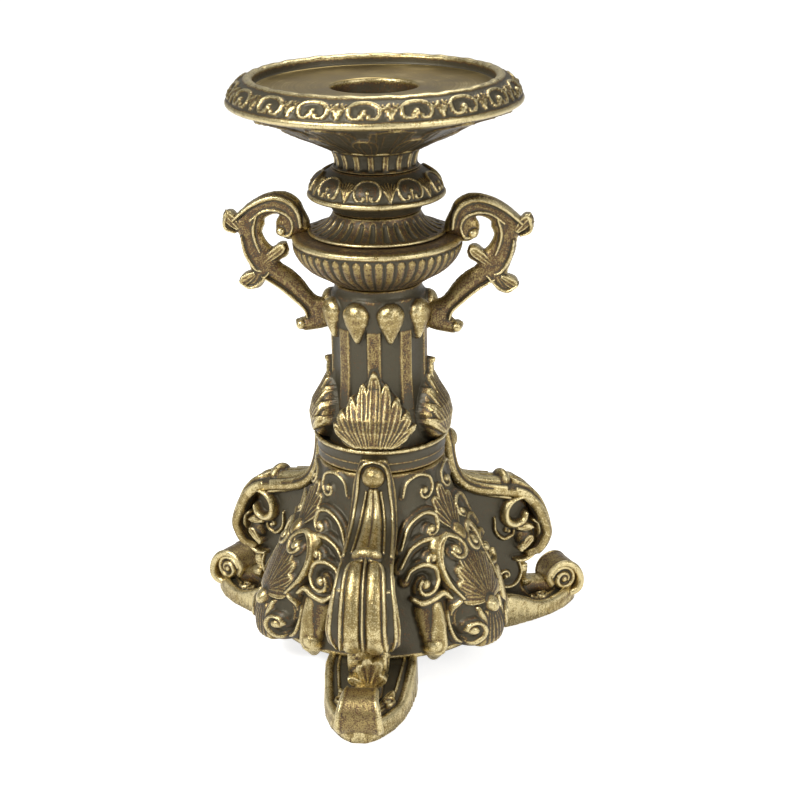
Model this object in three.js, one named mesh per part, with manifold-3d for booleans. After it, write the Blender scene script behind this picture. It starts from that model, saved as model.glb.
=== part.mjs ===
// Table-top torchere candle stand. A tripod base of three scrolled legs on a bell-shaped body
// carries a fluted column, a gadrooned bowl with two scroll handles, and a wide dish that takes
// a pillar candle on its floor or a tealight in its well. One tie rod pulls the stack together.
// Millimetres, +Z up, the front leg towards -Y and the handles along X.

import * as THREE from 'three';
import { mergeVertices } from 'three/addons/utils/BufferGeometryUtils.js';
import Module from 'manifold-3d';

const wasm = await Module();
wasm.setup();

// ---------------------------------------------------------------- driving dimensions

// Clearances
const seatGap = 0.3; // between two castings that seat on each other
const pinGap = 0.3; // round a rod, dowel or screw in its hole

// Tie rod and the registers that centre the stack
const rodRadius = 4;
const rodNutRadius = 8;
const rodNutHeight = 6;
const rodWasherRadius = 12;
const rodWasherThickness = 1.6;
const rodTail = 4; // rod left below its nut
const spigotRadius = 9;
const spigotHeight = 3;
const bossDepth = 8; // rod thread inside the dish boss

// Dish
const dishHeight = 32.7; // from the cup's seat plane to the lip
const lipRadius = 60;
const lipWidth = 3.5;
const rimRadius = 69.8;
const rimDrop = 11.8; // from lip to the outer roll
const rimSkirt = 2.2; // roll down to its lower edge
const recessDepth = 6;
const dishFloor = 3.2;
const wellRadius = 20.5;
const wellDepth = 19;
const wellWall = 2.6;
const eggCount = 18;
const eggRelief = 1.2;

// Leaf cup under the dish
const cupFootRadius = 24;
const cupRadius = 60.8;
const cupHeight = 17.4; // foot to leaf tips
const cupWall = 3;
const leafCount = 18;
const leafRelief = 0.7;

// Neck spool
const neckHeight = 10.3;
const neckTopRadius = 22.9;
const neckWaistRadius = 19.1;
const neckFluteCount = 17;
const neckFluteDepth = 0.6;

// Bell collar
const bellHeight = 20.6;
const bellRadius = 32.3;
const bellTopRadius = 21.4;
const bellFootRadius = 20.8;
const bellEggCount = 9;
const bellRelief = 1.1;

// Reeded flare
const flareHeight = 10.6;
const flareRadius = 33.4;
const flareTopRadius = 20.3;
const reedCount = 26;
const reedRelief = 0.7;

// Gadrooned bowl
const bowlHeight = 23.7;
const bowlRadius = 40.8;
const bowlFootRadius = 21;
const gadroonCount = 48;
const gadroonRelief = 0.7;

// Column
const columnHeight = 79.7;
const columnFootRadius = 27;
const columnRadius = 23.9;
const columnTopRadius = 21;
const columnCoreRadius = 14; // hollow round the rod
const columnCap = 6; // solid above and below the hollow
const moduleCount = 9; // drops, flutes and strips round the column
const stripRelief = 0.9;
const fluteDepth = 1.3;
const dropHeight = 19;
const dropWidth = 12;
const dropRelief = 4.4;
const dropBelowTop = 12.6;
const palmetteCount = 4;
const palmetteHeight = 34.5;
const palmetteWidth = 38;
const palmetteFoot = 5.6; // above the column's foot
const palmetteRelief = 9;

// Collar with its tray
const collarHeight = 12.4;
const collarRadius = 31.4;
const collarLipRadius = 33;
const collarLipWidth = 1.6;
const trayDepth = 4.1;

// Tripod body
const bodyHeight = 101.7;
const bodyTopRadius = 31.2;
const bodySkirtRadius = 57;
const bodyHem = 16; // hem above the floor
const skirtFlare = 1.5; // higher keeps the waist slim for longer
const bodyWall = 4.2;
const bodyDeck = 6; // thickness of the deck under the collar
const consoleRadius = 6;
const consoleHeight = 30;
const consoleReach = 55;
const consoleAngle = 32; // degrees either side of a leg

// Legs
const legCount = 3;
const strapThickness = 6;
const strapTopHalfWidth = 8.6;
const strapHalfWidth = 12.4;
const kneeHalfWidth = 17.6;
const kneeReach = 88.3;
const kneeHeight = 48.7; // of the outermost point of the knee
const webHalfWidth = 8;
const ballRadius = 5.6;
const bumpRadius = 6.3;
const plateHalfWidth = 22;
const plateBack = 50; // reach of the plate's inner edge
const plateThickness = 8.6;
const plateRimWidth = 5.5;
const platePocket = 1.6;
const toeReach = 114.3;
const toeRollRadius = 11.7;
const toeRollHalfWidth = 8;

// Leg bolts
const boltRadius = 2.5;
const boltHeadRadius = 4.5;
const boltHeadHeight = 4;
const boltReach = 10; // into the leg
const boltTopHeight = 62;
const boltLowHeight = 32;
const boltHeights = [boltTopHeight, boltLowHeight];

// Carved panels between the legs
const panelRelief = 5;
const panelTop = 90;
const panelFoot = 17;
const panelHalfWidth = 23;
const panelSwellOut = 12; // radii of the carved fan
const panelSwellAcross = 14;
const panelSwellUp = 21;
const panelBossRadius = 5;
const panelSwellHeight = 35.5;
const screwRadius = 1.7;
const screwHeadRadius = 3.2;
const screwHeadHeight = 2.4;
const screwReach = 3; // into the panel
const screwTopHeight = 76;
const screwLowHeight = 25;
const screwHeights = [screwTopHeight, screwLowHeight];

// Handles
const handleThickness = 6;
const handleBevel = 0.8;
const handleHeight = 69.2;
const handleDrop = 25.8; // foot of the handle below the column's top
const dowelRadius = 1.6;
const dowelReach = 6; // each way from the joint
const dowelTopDepth = 12.3; // below the column's top
const dowelLowDepth = 18.8;

// Felt pads
const padRadius = 11;
const padThickness = 1.6;
const padProud = 0.5; // felt standing below the foot
const padReach = 84;

// ---------------------------------------------------------------- heights of the stack

const bodyTop = bodyHeight;
const collarBase = bodyTop + seatGap;
const trayFloor = collarBase + collarHeight - trayDepth;
const columnBase = trayFloor + seatGap;
const columnTop = columnBase + columnHeight;
const bowlBase = columnTop + seatGap;
const flareBase = bowlBase + bowlHeight + seatGap;
const bellBase = flareBase + flareHeight + seatGap;
const neckBase = bellBase + bellHeight + seatGap;
const cupBase = neckBase + neckHeight + seatGap;
const dishBase = cupBase + seatGap;
const lipTop = dishBase + dishHeight;
const boreRadius = rodRadius + pinGap;

// ---------------------------------------------------------------- materials

function finish(color, roughness, metalness) {
  return new THREE.MeshStandardMaterial({ color, roughness, metalness });
}

const patina = () => finish(0x5a4f38, 0.42, 0.75);
const rubbedGilding = () => finish(0xb08f4e, 0.38, 0.85);
const brushedGilding = () => finish(0x9c7b45, 0.34, 0.85);
const steel = () => finish(0x8d8f92, 0.35, 0.9);
const feltGreen = () => finish(0x2f3a2c, 0.95, 0);

// ---------------------------------------------------------------- solids

const stand = new THREE.Group();
const turn = Math.PI * 2;
const degree = Math.PI / 180;

const clamp = (value, low, high) => Math.min(Math.max(value, low), high);
const smooth = (value) => value * value * (3 - 2 * value);
const mix = (from, to, share) => from + (to - from) * share;

/** Position-only geometry with shared corners, its faces pointing out. */
function closed(geometry) {
  const bare = new THREE.BufferGeometry();
  bare.setAttribute('position', geometry.getAttribute('position').clone());
  if (geometry.index) bare.setIndex(geometry.index.clone());
  const merged = mergeVertices(bare, 1e-4);
  const corners = merged.index.array;
  const kept = [];
  for (let i = 0; i < corners.length; i += 3) {
    const [a, b, c] = [corners[i], corners[i + 1], corners[i + 2]];
    if (a !== b && b !== c && c !== a) kept.push(a, b, c);
  }
  if (signedVolume(merged, kept) < 0) kept.reverse();
  merged.setIndex(kept);
  return merged;
}

/** Volume enclosed by the triangles, negative where they point inwards. */
function signedVolume(geometry, corners) {
  const place = geometry.getAttribute('position');
  const [a, b, c] = [new THREE.Vector3(), new THREE.Vector3(), new THREE.Vector3()];
  let total = 0;
  for (let i = 0; i < corners.length; i += 3) {
    a.fromBufferAttribute(place, corners[i]);
    b.fromBufferAttribute(place, corners[i + 1]);
    c.fromBufferAttribute(place, corners[i + 2]);
    total += a.dot(b.cross(c)) / 6;
  }
  return total;
}

function toSolid(geometry) {
  const shell = closed(geometry);
  const vertProperties = new Float32Array(shell.getAttribute('position').array);
  const triVerts = new Uint32Array(shell.index.array);
  return new wasm.Manifold(new wasm.Mesh({ numProp: 3, vertProperties, triVerts }));
}

function toGeometry(solid) {
  const mesh = solid.getMesh();
  const geometry = new THREE.BufferGeometry();
  geometry.setAttribute('position', new THREE.BufferAttribute(mesh.vertProperties, 3));
  geometry.setIndex(new THREE.BufferAttribute(mesh.triVerts, 1));
  return geometry;
}

function joined(geometries) {
  return geometries.map(toSolid).reduce((whole, piece) => whole.add(piece));
}

function cut(solid, tools) {
  return tools.map(toSolid).reduce((left, tool) => left.subtract(tool), solid);
}

function place(name, geometry, material, angle = 0) {
  const mesh = new THREE.Mesh(closed(geometry), material);
  mesh.name = name;
  mesh.rotation.z = angle;
  stand.add(mesh);
  return mesh;
}

// ---------------------------------------------------------------- turned pieces

/** A body of revolution from [radius, height] points; relief moves each point outwards. */
function turned(profile, segments, relief) {
  const points = profile.map(([radius, height]) => new THREE.Vector2(radius, height));
  const geometry = new THREE.LatheGeometry(points, segments);
  geometry.rotateX(Math.PI / 2);
  if (relief) addRelief(geometry, relief);
  return geometry;
}

function addRelief(geometry, relief) {
  const place = geometry.getAttribute('position');
  for (let i = 0; i < place.count; i += 1) {
    const [x, y, z] = [place.getX(i), place.getY(i), place.getZ(i)];
    const radius = Math.hypot(x, y);
    if (radius < 1e-6) continue;
    const scale = 1 + relief(Math.atan2(y, x), z, radius) / radius;
    place.setXY(i, x * scale, y * scale);
  }
}

/** A turned casting bored for the rod, with a socket below and, unless left off, a spigot on top. */
function stacked(outer, base, height, segments, relief, spigot = true) {
  const top = base + height;
  const bodyOfIt = toSolid(turned([[0, base], ...outer, [0, top]], segments, relief));
  const register = rod(spigotRadius, top - 1, top + spigotHeight, 20);
  const whole = spigot ? bodyOfIt.add(toSolid(register)) : bodyOfIt;
  return cut(whole, [
    rod(spigotRadius + pinGap, base - 1, base + spigotHeight + seatGap, 20),
    rod(boreRadius, base - 1, top + spigotHeight + 1),
  ]);
}

/** A ripple round the axis that fades out at both ends of a height range. */
function ripple(count, depth, low, high, shift = 0) {
  return (angle, z, radius) => {
    if (radius < spigotRadius + 1) return 0;
    const share = clamp((z - low) / (high - low), 0, 1);
    return depth * Math.cos(count * (angle - shift)) * Math.sin(Math.PI * share);
  };
}

function rod(radius, from, to, segments = 12) {
  const geometry = new THREE.CylinderGeometry(radius, radius, to - from, segments);
  geometry.rotateX(Math.PI / 2);
  geometry.translate(0, 0, (from + to) / 2);
  return geometry;
}

/** A pin lying along the local X axis. */
function crossPin(radius, from, to, height, segments = 6) {
  const geometry = new THREE.CylinderGeometry(radius, radius, to - from, segments);
  geometry.rotateZ(Math.PI / 2);
  geometry.translate((from + to) / 2, 0, height);
  return geometry;
}

function ball(radius, x, z, flatten = 1) {
  const geometry = new THREE.SphereGeometry(radius, 10, 6);
  geometry.scale(1, 1, flatten);
  geometry.translate(x, 0, z);
  return geometry;
}

// ---------------------------------------------------------------- dish and cup

const recessFloor = lipTop - recessDepth;
const floorUnderside = recessFloor - dishFloor;
const wellFloor = recessFloor - wellDepth + recessDepth;
const wellUnderside = wellFloor - wellWall;
const rimRoll = lipTop - rimDrop;
const rimEdge = rimRoll - rimSkirt;

function makeDish() {
  const threadTop = wellUnderside - seatGap;
  const profile = [
    [0, threadTop],
    [boreRadius, threadTop],
    [boreRadius, threadTop - bossDepth],
    [spigotRadius, threadTop - bossDepth],
    [spigotRadius, wellUnderside],
    [wellRadius + wellWall, wellUnderside],
    [wellRadius + wellWall, floorUnderside],
    [cupRadius + seatGap, floorUnderside],
    [cupRadius + seatGap, rimEdge],
    [rimRadius - 1.2, rimEdge],
    [rimRadius, rimRoll],
    [mix(rimRadius, lipRadius, 0.2), mix(rimRoll, lipTop, 0.26)],
    [mix(rimRadius, lipRadius, 0.56), mix(rimRoll, lipTop, 0.64)],
    [lipRadius, lipTop],
    [lipRadius - lipWidth, lipTop],
    [lipRadius - lipWidth, recessFloor],
    [wellRadius, recessFloor],
    [wellRadius, wellFloor],
    [0, wellFloor],
  ];
  const eggs = (angle, z, radius) => {
    if (radius < cupRadius + 2 || z < rimEdge + 0.5) return 0;
    const share = clamp((z - rimRoll) / rimDrop, 0, 1);
    return eggRelief * Math.cos(eggCount * (angle + Math.PI / 2)) * Math.sin(Math.PI * (0.2 + 0.7 * share));
  };
  place('dish', turned(profile, eggCount * 3, eggs), brushedGilding());
}

function makeLeafCup() {
  const socketRadius = spigotRadius + pinGap;
  const tips = cupBase + cupHeight;
  const seat = floorUnderside - seatGap;
  const reach = cupRadius - cupFootRadius;
  const profile = [
    [socketRadius, cupBase],
    [cupFootRadius, cupBase],
    [cupFootRadius + reach * 0.17, cupBase + cupHeight * 0.22],
    [cupFootRadius + reach * 0.55, cupBase + cupHeight * 0.59],
    [cupFootRadius + reach * 0.75, cupBase + cupHeight * 0.8],
    [cupRadius, tips],
    [cupRadius, seat],
    [cupRadius - cupWall, seat],
    [cupRadius - cupWall, tips + cupWall * 0.4],
    [cupFootRadius + reach * 0.7, cupBase + cupHeight * 0.76 + cupWall],
    [cupFootRadius + reach * 0.5, cupBase + cupHeight * 0.54 + cupWall],
    [cupFootRadius + 1, cupBase + cupWall + 0.6],
    [socketRadius, cupBase + cupWall + 0.6],
    [socketRadius, cupBase],
  ];
  const leaves = (angle, z, radius) => {
    const outside = radius > cupFootRadius + 3 && z < tips - 0.5;
    return outside ? leafRelief * Math.cos(leafCount * angle) : 0;
  };
  place('leaf_cup', turned(profile, leafCount * 2, leaves), patina());
}

// ---------------------------------------------------------------- neck, bell and flare

function makeNeckSpool() {
  const at = (share) => neckBase + neckHeight * share;
  const outer = [
    [bellTopRadius - 1, at(0)],
    [neckWaistRadius, at(0.18)],
    [neckWaistRadius + 1, at(0.4)],
    [neckTopRadius, at(0.72)],
    [neckTopRadius - 1, at(1)],
  ];
  const flutes = ripple(neckFluteCount, neckFluteDepth, at(0), at(1));
  const spool = stacked(outer, neckBase, neckHeight, neckFluteCount * 2, flutes, false);
  place('neck_spool', toGeometry(spool), patina());
}

function makeBellCollar() {
  const at = (share) => bellBase + bellHeight * share;
  const outer = [
    [bellFootRadius, bellBase],
    [mix(bellFootRadius, bellRadius, 0.16), at(0.14)],
    [mix(bellFootRadius, bellRadius, 0.62), at(0.25)],
    [bellRadius + 0.7, at(0.35)],
    [bellRadius - 0.3, at(0.5)],
    [mix(bellTopRadius, bellRadius, 0.74), at(0.7)],
    [mix(bellTopRadius, bellRadius, 0.4), at(0.83)],
    [bellTopRadius, at(1)],
  ];
  const eggs = ripple(bellEggCount, bellRelief, at(0.36), at(1), -Math.PI / 2);
  place('bell_collar', toGeometry(stacked(outer, bellBase, bellHeight, bellEggCount * 5, eggs)), patina());
}

function makeReededFlare() {
  const at = (share) => flareBase + flareHeight * share;
  const outer = [
    [flareRadius - 0.8, flareBase],
    [flareRadius, at(0.14)],
    [flareRadius - 0.8, at(0.24)],
    [mix(flareRadius, flareTopRadius, 0.46), at(0.35)],
    [mix(flareRadius, flareTopRadius, 0.8), at(0.64)],
    [flareTopRadius, at(1)],
  ];
  const reeds = ripple(reedCount, reedRelief, at(0.3), at(1.05));
  const flare = stacked(outer, flareBase, flareHeight, reedCount * 2, reeds);
  place('reeded_flare', toGeometry(flare), rubbedGilding());
}

// ---------------------------------------------------------------- bowl, column and collar

/** Outer line of the bowl, grown by an offset. */
function bowlLine(offset) {
  const at = (share) => bowlBase + bowlHeight * share;
  return [
    [bowlFootRadius + offset, at(0) - offset],
    [mix(bowlFootRadius, bowlRadius, 0.06) + offset, at(0.06)],
    [mix(bowlFootRadius, bowlRadius, 0.52) + offset, at(0.29)],
    [mix(bowlFootRadius, bowlRadius, 0.85) + offset, at(0.53)],
    [bowlRadius + offset, at(0.82)],
    [flareRadius + 1.2 + offset, at(1) + offset],
  ];
}

function makeGadroonBowl() {
  const at = (share) => bowlBase + bowlHeight * share;
  const gadroons = ripple(gadroonCount, gadroonRelief, at(0), at(0.98));
  const bowl = stacked(bowlLine(0), bowlBase, bowlHeight, gadroonCount * 2, gadroons);
  place('gadroon_bowl', toGeometry(bowl), rubbedGilding());
}

/** Signed angle from the nearest of some evenly spaced centres. */
function offCentre(angle, count, first) {
  const pitch = turn / count;
  return ((((angle - first) % pitch) + pitch * 1.5) % pitch) - pitch / 2;
}

function shaftRadius(z) {
  const share = clamp((z - columnBase) / columnHeight, 0, 1);
  return mix(columnFootRadius, columnRadius, smooth(clamp(share / 0.35, 0, 1)));
}

function dropAt(angle, z) {
  const centre = columnTop - dropBelowTop;
  const rise = z - centre;
  const reach = rise > 0 ? dropHeight * 0.36 : dropHeight * 0.64;
  const side = offCentre(angle, moduleCount, Math.PI / moduleCount - Math.PI / 2) * columnRadius;
  const lean = rise < 0 ? 1 + rise / (dropHeight * 1.1) : 1;
  const away = Math.hypot(side / (dropWidth * 0.5 * Math.max(lean, 0.3)), rise / reach);
  return away < 1 ? dropRelief * Math.sqrt(1 - away * away) : 0;
}

function stripsAt(angle, z) {
  const share = (z - columnBase) / columnHeight;
  if (share < 0.36 || share > 0.97) return 0;
  const wave = Math.cos(moduleCount * (angle + Math.PI / 2));
  return wave > 0 ? stripRelief * wave : fluteDepth * wave;
}

function palmetteAt(angle, z) {
  const foot = columnBase + palmetteFoot;
  const rise = (z - foot) / palmetteHeight;
  if (rise < -0.02 || rise > 1.02) return 0;
  const side = Math.abs(offCentre(angle, palmetteCount, 0)) * (columnRadius + palmetteRelief * 0.8);
  const spread = (palmetteWidth / 2) * Math.sqrt(clamp(1 - rise ** 2.4, 0, 1)) + 0.5;
  const mask = smooth(clamp((spread - side) / 3 + 0.5, 0, 1));
  const crown = mix(1, 0.16, smooth(clamp((rise - 0.2) / 0.62, 0, 1)));
  return palmetteRelief * crown * mask;
}

/** Outer line of the shaft, grown by an offset. */
function shaftLine(offset) {
  const stations = [0, 0.07, 0.09, 0.16, 0.26, 0.37, 0.46, 0.6, 0.7, 0.78, 0.86, 0.95];
  const outer = stations.map((share) => {
    const z = columnBase + columnHeight * share;
    return [shaftRadius(z) + offset, z];
  });
  return [...outer, [columnTopRadius + offset, columnTop]];
}

function shaftRelief(angle, z, radius) {
  if (radius < columnTopRadius - 1 || z > columnTop - 1 || z < columnBase + palmetteFoot - 0.5) return 0;
  return Math.max(dropAt(angle, z), palmetteAt(angle, z)) || stripsAt(angle, z);
}

/** The room a turned casting takes out of what stands against it. */
function roomFor(line, segments, relief) {
  return turned([[0, line[0][1]], ...line, [0, line.at(-1)[1]]], segments, relief);
}

function makeColumn() {
  const hollow = rod(columnCoreRadius, columnBase + columnCap + spigotHeight, columnTop - columnCap, 16);
  const shell = cut(stacked(shaftLine(0), columnBase, columnHeight, moduleCount * 8, shaftRelief), [
    hollow,
    ...dowelHoles(),
  ]);
  place('column', toGeometry(shell), patina());
}

/** Outer line of the collar up to its lip. */
function collarOuter(offset) {
  const top = collarBase + collarHeight;
  return [
    [collarRadius + offset, collarBase - offset],
    [collarRadius + offset, collarBase + collarHeight * 0.42],
    [collarLipRadius + offset, top - 1],
    [collarLipRadius - 0.4 + offset, top + offset],
  ];
}

function makeCollar() {
  const outer = [
    ...collarOuter(0),
    [collarLipRadius - collarLipWidth, collarBase + collarHeight],
    [columnFootRadius + 1.2, trayFloor],
  ];
  place('collar', toGeometry(stacked(outer, collarBase, collarHeight - trayDepth, 36)), patina());
}

// ---------------------------------------------------------------- handles

/** Side view of the scroll handle, going round once, in shares of its height: [out from the joint, up]. */
const handleOutline = [
  [0.6965, 0.8656], [0.7197, 0.815], [0.7124, 0.7514], [0.6806, 0.7168], [0.6127, 0.6994],
  [0.5968, 0.6084], [0.5665, 0.5231], [0.539, 0.4436], [0.5434, 0.409], [0.5723, 0.3801],
  [0.6171, 0.3772], [0.6084, 0.3454], [0.5621, 0.3092], [0.5202, 0.2977], [0.4711, 0.3136],
  [0.4176, 0.3714], [0.3338, 0.3121], [0.2529, 0.2457], [0.1864, 0.1792], [0.1532, 0.1358],
  [0.1604, 0.1069], [0.1965, 0.0853], [0.2312, 0.078], [0.2254, 0.0347], [0.185, 0.0043], [0.1358, 0],
  [-0.026, 0.0506], [-0.026, 0.2168], [0.0723, 0.25], [0.1199, 0.2934], [0.172, 0.3671],
  [0.2457, 0.4393], [0.3295, 0.4986], [0.276, 0.539], [0.2616, 0.5896], [0.2861, 0.6387],
  [0.3295, 0.604], [0.3642, 0.5983], [0.3974, 0.6199], [0.4292, 0.6618], [0.4451, 0.7124],
  [0.4263, 0.7645], [0.4234, 0.8035], [0.3685, 0.8338], [0.3208, 0.8324], [0.3425, 0.7948],
  [0.3468, 0.7457], [0.3251, 0.6965], [0.2789, 0.6633], [0.2312, 0.659], [0.1749, 0.6922],
  [0.1113, 0.7225], [0.1113, 0.7977], [0.1416, 0.8613], [0.1734, 0.9321], [0.2327, 0.9812],
  [0.3064, 1], [0.4032, 0.9841], [0.4855, 0.9436], [0.5564, 0.896], [0.6055, 0.841], [0.6474, 0.841],
];

const handleJoint = columnRadius + stripRelief;
const dowelHeights = [columnTop - dowelTopDepth, columnTop - dowelLowDepth];

/** Blind holes for the dowels of both handles, from inside the column's wall outwards. */
function dowelHoles() {
  const hole = (height) => crossPin(
    dowelRadius + pinGap,
    handleJoint - dowelReach - pinGap,
    handleJoint + dowelReach + pinGap,
    height,
  );
  const across = dowelHeights.map(hole).map((tool) => tool.rotateZ(Math.PI));
  return [...dowelHeights.map(hole), ...across];
}

function makeHandles() {
  const foot = columnTop - handleDrop;
  const corner = ([out, up]) => new THREE.Vector2(handleJoint + out * handleHeight, foot + up * handleHeight);
  const shape = new THREE.Shape(handleOutline.map(corner));
  const blank = new THREE.ExtrudeGeometry(shape, {
    depth: handleThickness - 2 * handleBevel,
    bevelSize: handleBevel,
    bevelOffset: -handleBevel,
    bevelThickness: handleBevel,
    bevelSegments: 1,
  });
  blank.translate(0, 0, handleBevel - handleThickness / 2);
  blank.rotateX(Math.PI / 2);
  const sides = [['right', 0], ['left', Math.PI]];
  for (const [side, angle] of sides) {
    const solid = cut(toSolid(blank), [
      roomFor(shaftLine(seatGap), moduleCount * 8, shaftRelief).rotateZ(-angle),
      roomFor(bowlLine(seatGap + gadroonRelief), gadroonCount),
      rod(flareRadius + seatGap, flareBase - 1, flareBase + flareHeight, 48),
      ...dowelHoles(),
    ]);
    place(`handle_${side}`, toGeometry(solid), rubbedGilding(), angle);
    dowelHeights.forEach((height, level) => {
      const pin = crossPin(dowelRadius, handleJoint - dowelReach, handleJoint + dowelReach, height);
      place(`handle_dowel_${side}_${level + 1}`, pin, steel(), angle);
    });
  }
}

// ---------------------------------------------------------------- tripod body

/** Skirt radius of the tripod body at a height. */
function skirtRadius(z) {
  const fall = clamp((bodyTop - z) / (bodyTop - bodyHem), 0, 1);
  return mix(bodyTopRadius, bodySkirtRadius, Math.sin((Math.PI / 2) * fall ** skirtFlare));
}

function skirtProfile(offset, from, to, steps) {
  const points = [];
  for (let i = 0; i <= steps; i += 1) {
    const z = mix(from, to, i / steps);
    points.push([skirtRadius(z) + offset, z]);
  }
  return points;
}

const skirtSteps = 7;
const skirtSegments = 36;

/** A solid plug that fills the skirt out to an offset, used to seat what stands against it. */
function skirtPlug(offset, low = bodyHem - 3, high = bodyTop + offset) {
  return turned([[0, low], ...skirtProfile(offset, low, high, skirtSteps), [0, high]], skirtSegments);
}

/** One of the round posts that stand in the body's skirt beside each leg. */
function consolePost(angle, offset) {
  const post = rod(consoleRadius + offset, bodyHem - offset, bodyHem + consoleHeight + offset, 10);
  post.translate(consoleReach, 0, 0);
  post.rotateZ(angle);
  return post;
}

function makeTripodBody() {
  const deckUnderside = bodyTop - bodyDeck;
  const wallInside = skirtProfile(-bodyWall, deckUnderside - 4, bodyHem, skirtSteps - 3);
  const profile = [
    ...skirtProfile(0, bodyHem, bodyTop, skirtSteps),
    [spigotRadius, bodyTop],
    [spigotRadius, bodyTop + spigotHeight],
    [boreRadius, bodyTop + spigotHeight],
    [boreRadius, deckUnderside],
    [rodWasherRadius + 3, deckUnderside],
    ...wallInside,
    [skirtRadius(bodyHem), bodyHem],
  ];
  const consoles = [];
  const tools = [];
  for (let leg = 0; leg < legCount; leg += 1) {
    const legAngle = (leg * turn) / legCount - Math.PI / 2;
    for (const side of [-1, 1]) {
      consoles.push(consolePost(legAngle + side * consoleAngle * degree, 0));
    }
    const boltHole = (height) => fastenerHoles(boltRadius, boltHeadRadius, height, legAngle);
    const panelAngle = legAngle + Math.PI / legCount;
    const screwHole = (height) => fastenerHoles(screwRadius, screwHeadRadius, height, panelAngle);
    tools.push(...boltHeights.flatMap(boltHole), ...screwHeights.flatMap(screwHole));
  }
  const standing = cut(joined(consoles), [skirtPlug(-bodyWall / 2)]);
  const whole = toSolid(turned(profile, skirtSegments)).add(standing);
  place('tripod_body', toGeometry(cut(whole, tools)), patina());
}

/** Where a fastener's head bears on its spot face inside the skirt. */
function spotFace(height, headRadius) {
  return skirtRadius(height + headRadius + pinGap) - bodyWall + 1.6;
}

/** A through hole and its spot face in the skirt, turned to an angle. */
function fastenerHoles(radius, headRadius, height, angle) {
  const face = spotFace(height, headRadius);
  const shank = crossPin(radius + pinGap, face - 1, skirtRadius(height) + 12, height);
  const head = crossPin(headRadius + pinGap, 12, face, height);
  return [shank, head].map((tool) => tool.rotateZ(angle));
}

/** A headed fastener along the local X axis, its head inside the skirt. */
function headedFastener(radius, headRadius, headHeight, height, tip) {
  const face = spotFace(height, headRadius) - seatGap;
  const head = crossPin(headRadius, face - headHeight, face, height, 6);
  return toGeometry(joined([head, crossPin(radius, face - headHeight / 2, tip, height)]));
}

// ---------------------------------------------------------------- legs

/** A place in the leg's own plane: shares of the way from waist to knee and from knee to collar. */
const legSpot = (out, up) => [mix(bodyTopRadius, kneeReach, out), mix(kneeHeight, bodyTop, up)];

/** Outer line of the strap from the collar to the volute's tip: [reach, height, half width]. */
const strapLine = [
  [...legSpot(0.058, 1.166), strapTopHalfWidth - 2],
  [...legSpot(0.084, 1.043), strapTopHalfWidth],
  [...legSpot(0.077, 0.817), mix(strapTopHalfWidth, strapHalfWidth, 0.6)],
  [...legSpot(0.126, 0.651), mix(strapTopHalfWidth, strapHalfWidth, 0.8)],
  [...legSpot(0.224, 0.591), strapHalfWidth],
  [...legSpot(0.382, 0.549), strapHalfWidth],
  [...legSpot(0.557, 0.496), strapHalfWidth],
  [...legSpot(0.75, 0.43), strapHalfWidth],
  [...legSpot(0.855, 0.326), mix(strapHalfWidth, kneeHalfWidth, 0.25)],
  [...legSpot(0.935, 0.213), mix(strapHalfWidth, kneeHalfWidth, 0.6)],
  [...legSpot(1, 0), kneeHalfWidth],
  [...legSpot(0.986, -0.108), kneeHalfWidth],
  [...legSpot(0.925, -0.24), mix(strapHalfWidth, kneeHalfWidth, 0.8)],
  [...legSpot(0.832, -0.325), strapHalfWidth],
];

/** Across the strap: [share of the half width, height above the strap line]. */
const strapSection = [
  [-1, -1.2], [-0.94, 0.4], [-0.8, 0.4], [-0.6, -1.3], [-0.4, 0.1], [0, 1],
  [0.4, 0.1], [0.6, -1.3], [0.8, 0.4], [0.94, 0.4], [1, -1.2],
];
const strapSteps = 16;

/** A band swept along the strap line, with its fluted face outwards. */
function sweptStrap() {
  const line = new THREE.CatmullRomCurve3(strapLine.map(([x, z, w]) => new THREE.Vector3(x, w, z)));
  const under = [[1, -strapThickness], [-1, -strapThickness]];
  const section = [...strapSection, ...under];
  const corners = [];
  for (let i = 0; i <= strapSteps; i += 1) {
    const share = i / strapSteps;
    const centre = line.getPoint(share);
    const along = line.getTangent(share);
    const length = Math.hypot(along.x, along.z);
    const [outX, outZ] = [-along.z / length, along.x / length];
    for (const [side, lift] of section) {
      corners.push(centre.x + outX * lift, side * centre.y, centre.z + outZ * lift);
    }
  }
  return sweptShell(corners, section.length, strapSteps + 1, section);
}

/** Closes rings of corners into one shell, with a flat cap at each end. */
function sweptShell(corners, around, rings, section) {
  const faces = [];
  for (let ring = 0; ring + 1 < rings; ring += 1) {
    for (let i = 0; i < around; i += 1) {
      const a = ring * around + i;
      const b = ring * around + ((i + 1) % around);
      faces.push(a, a + around, b, b, a + around, b + around);
    }
  }
  const flat = section.map(([x, y]) => new THREE.Vector2(x * 10, y));
  const last = (rings - 1) * around;
  for (const face of THREE.ShapeUtils.triangulateShape(flat, [])) {
    const [a, b, c] = [...face].sort((one, other) => one - other);
    faces.push(a, b, c, last + a, last + c, last + b);
  }
  const geometry = new THREE.BufferGeometry();
  geometry.setAttribute('position', new THREE.Float32BufferAttribute(corners, 3));
  geometry.setIndex(faces);
  return geometry;
}

/** A flat web in the leg's own plane from a [reach, height] outline. */
function web(outline, halfWidth) {
  const shape = new THREE.Shape(outline.map(([x, z]) => new THREE.Vector2(x, z)));
  const geometry = new THREE.ExtrudeGeometry(shape, { depth: 2 * halfWidth, bevelEnabled: false });
  geometry.translate(0, 0, -halfWidth);
  geometry.rotateX(Math.PI / 2);
  return geometry;
}

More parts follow.
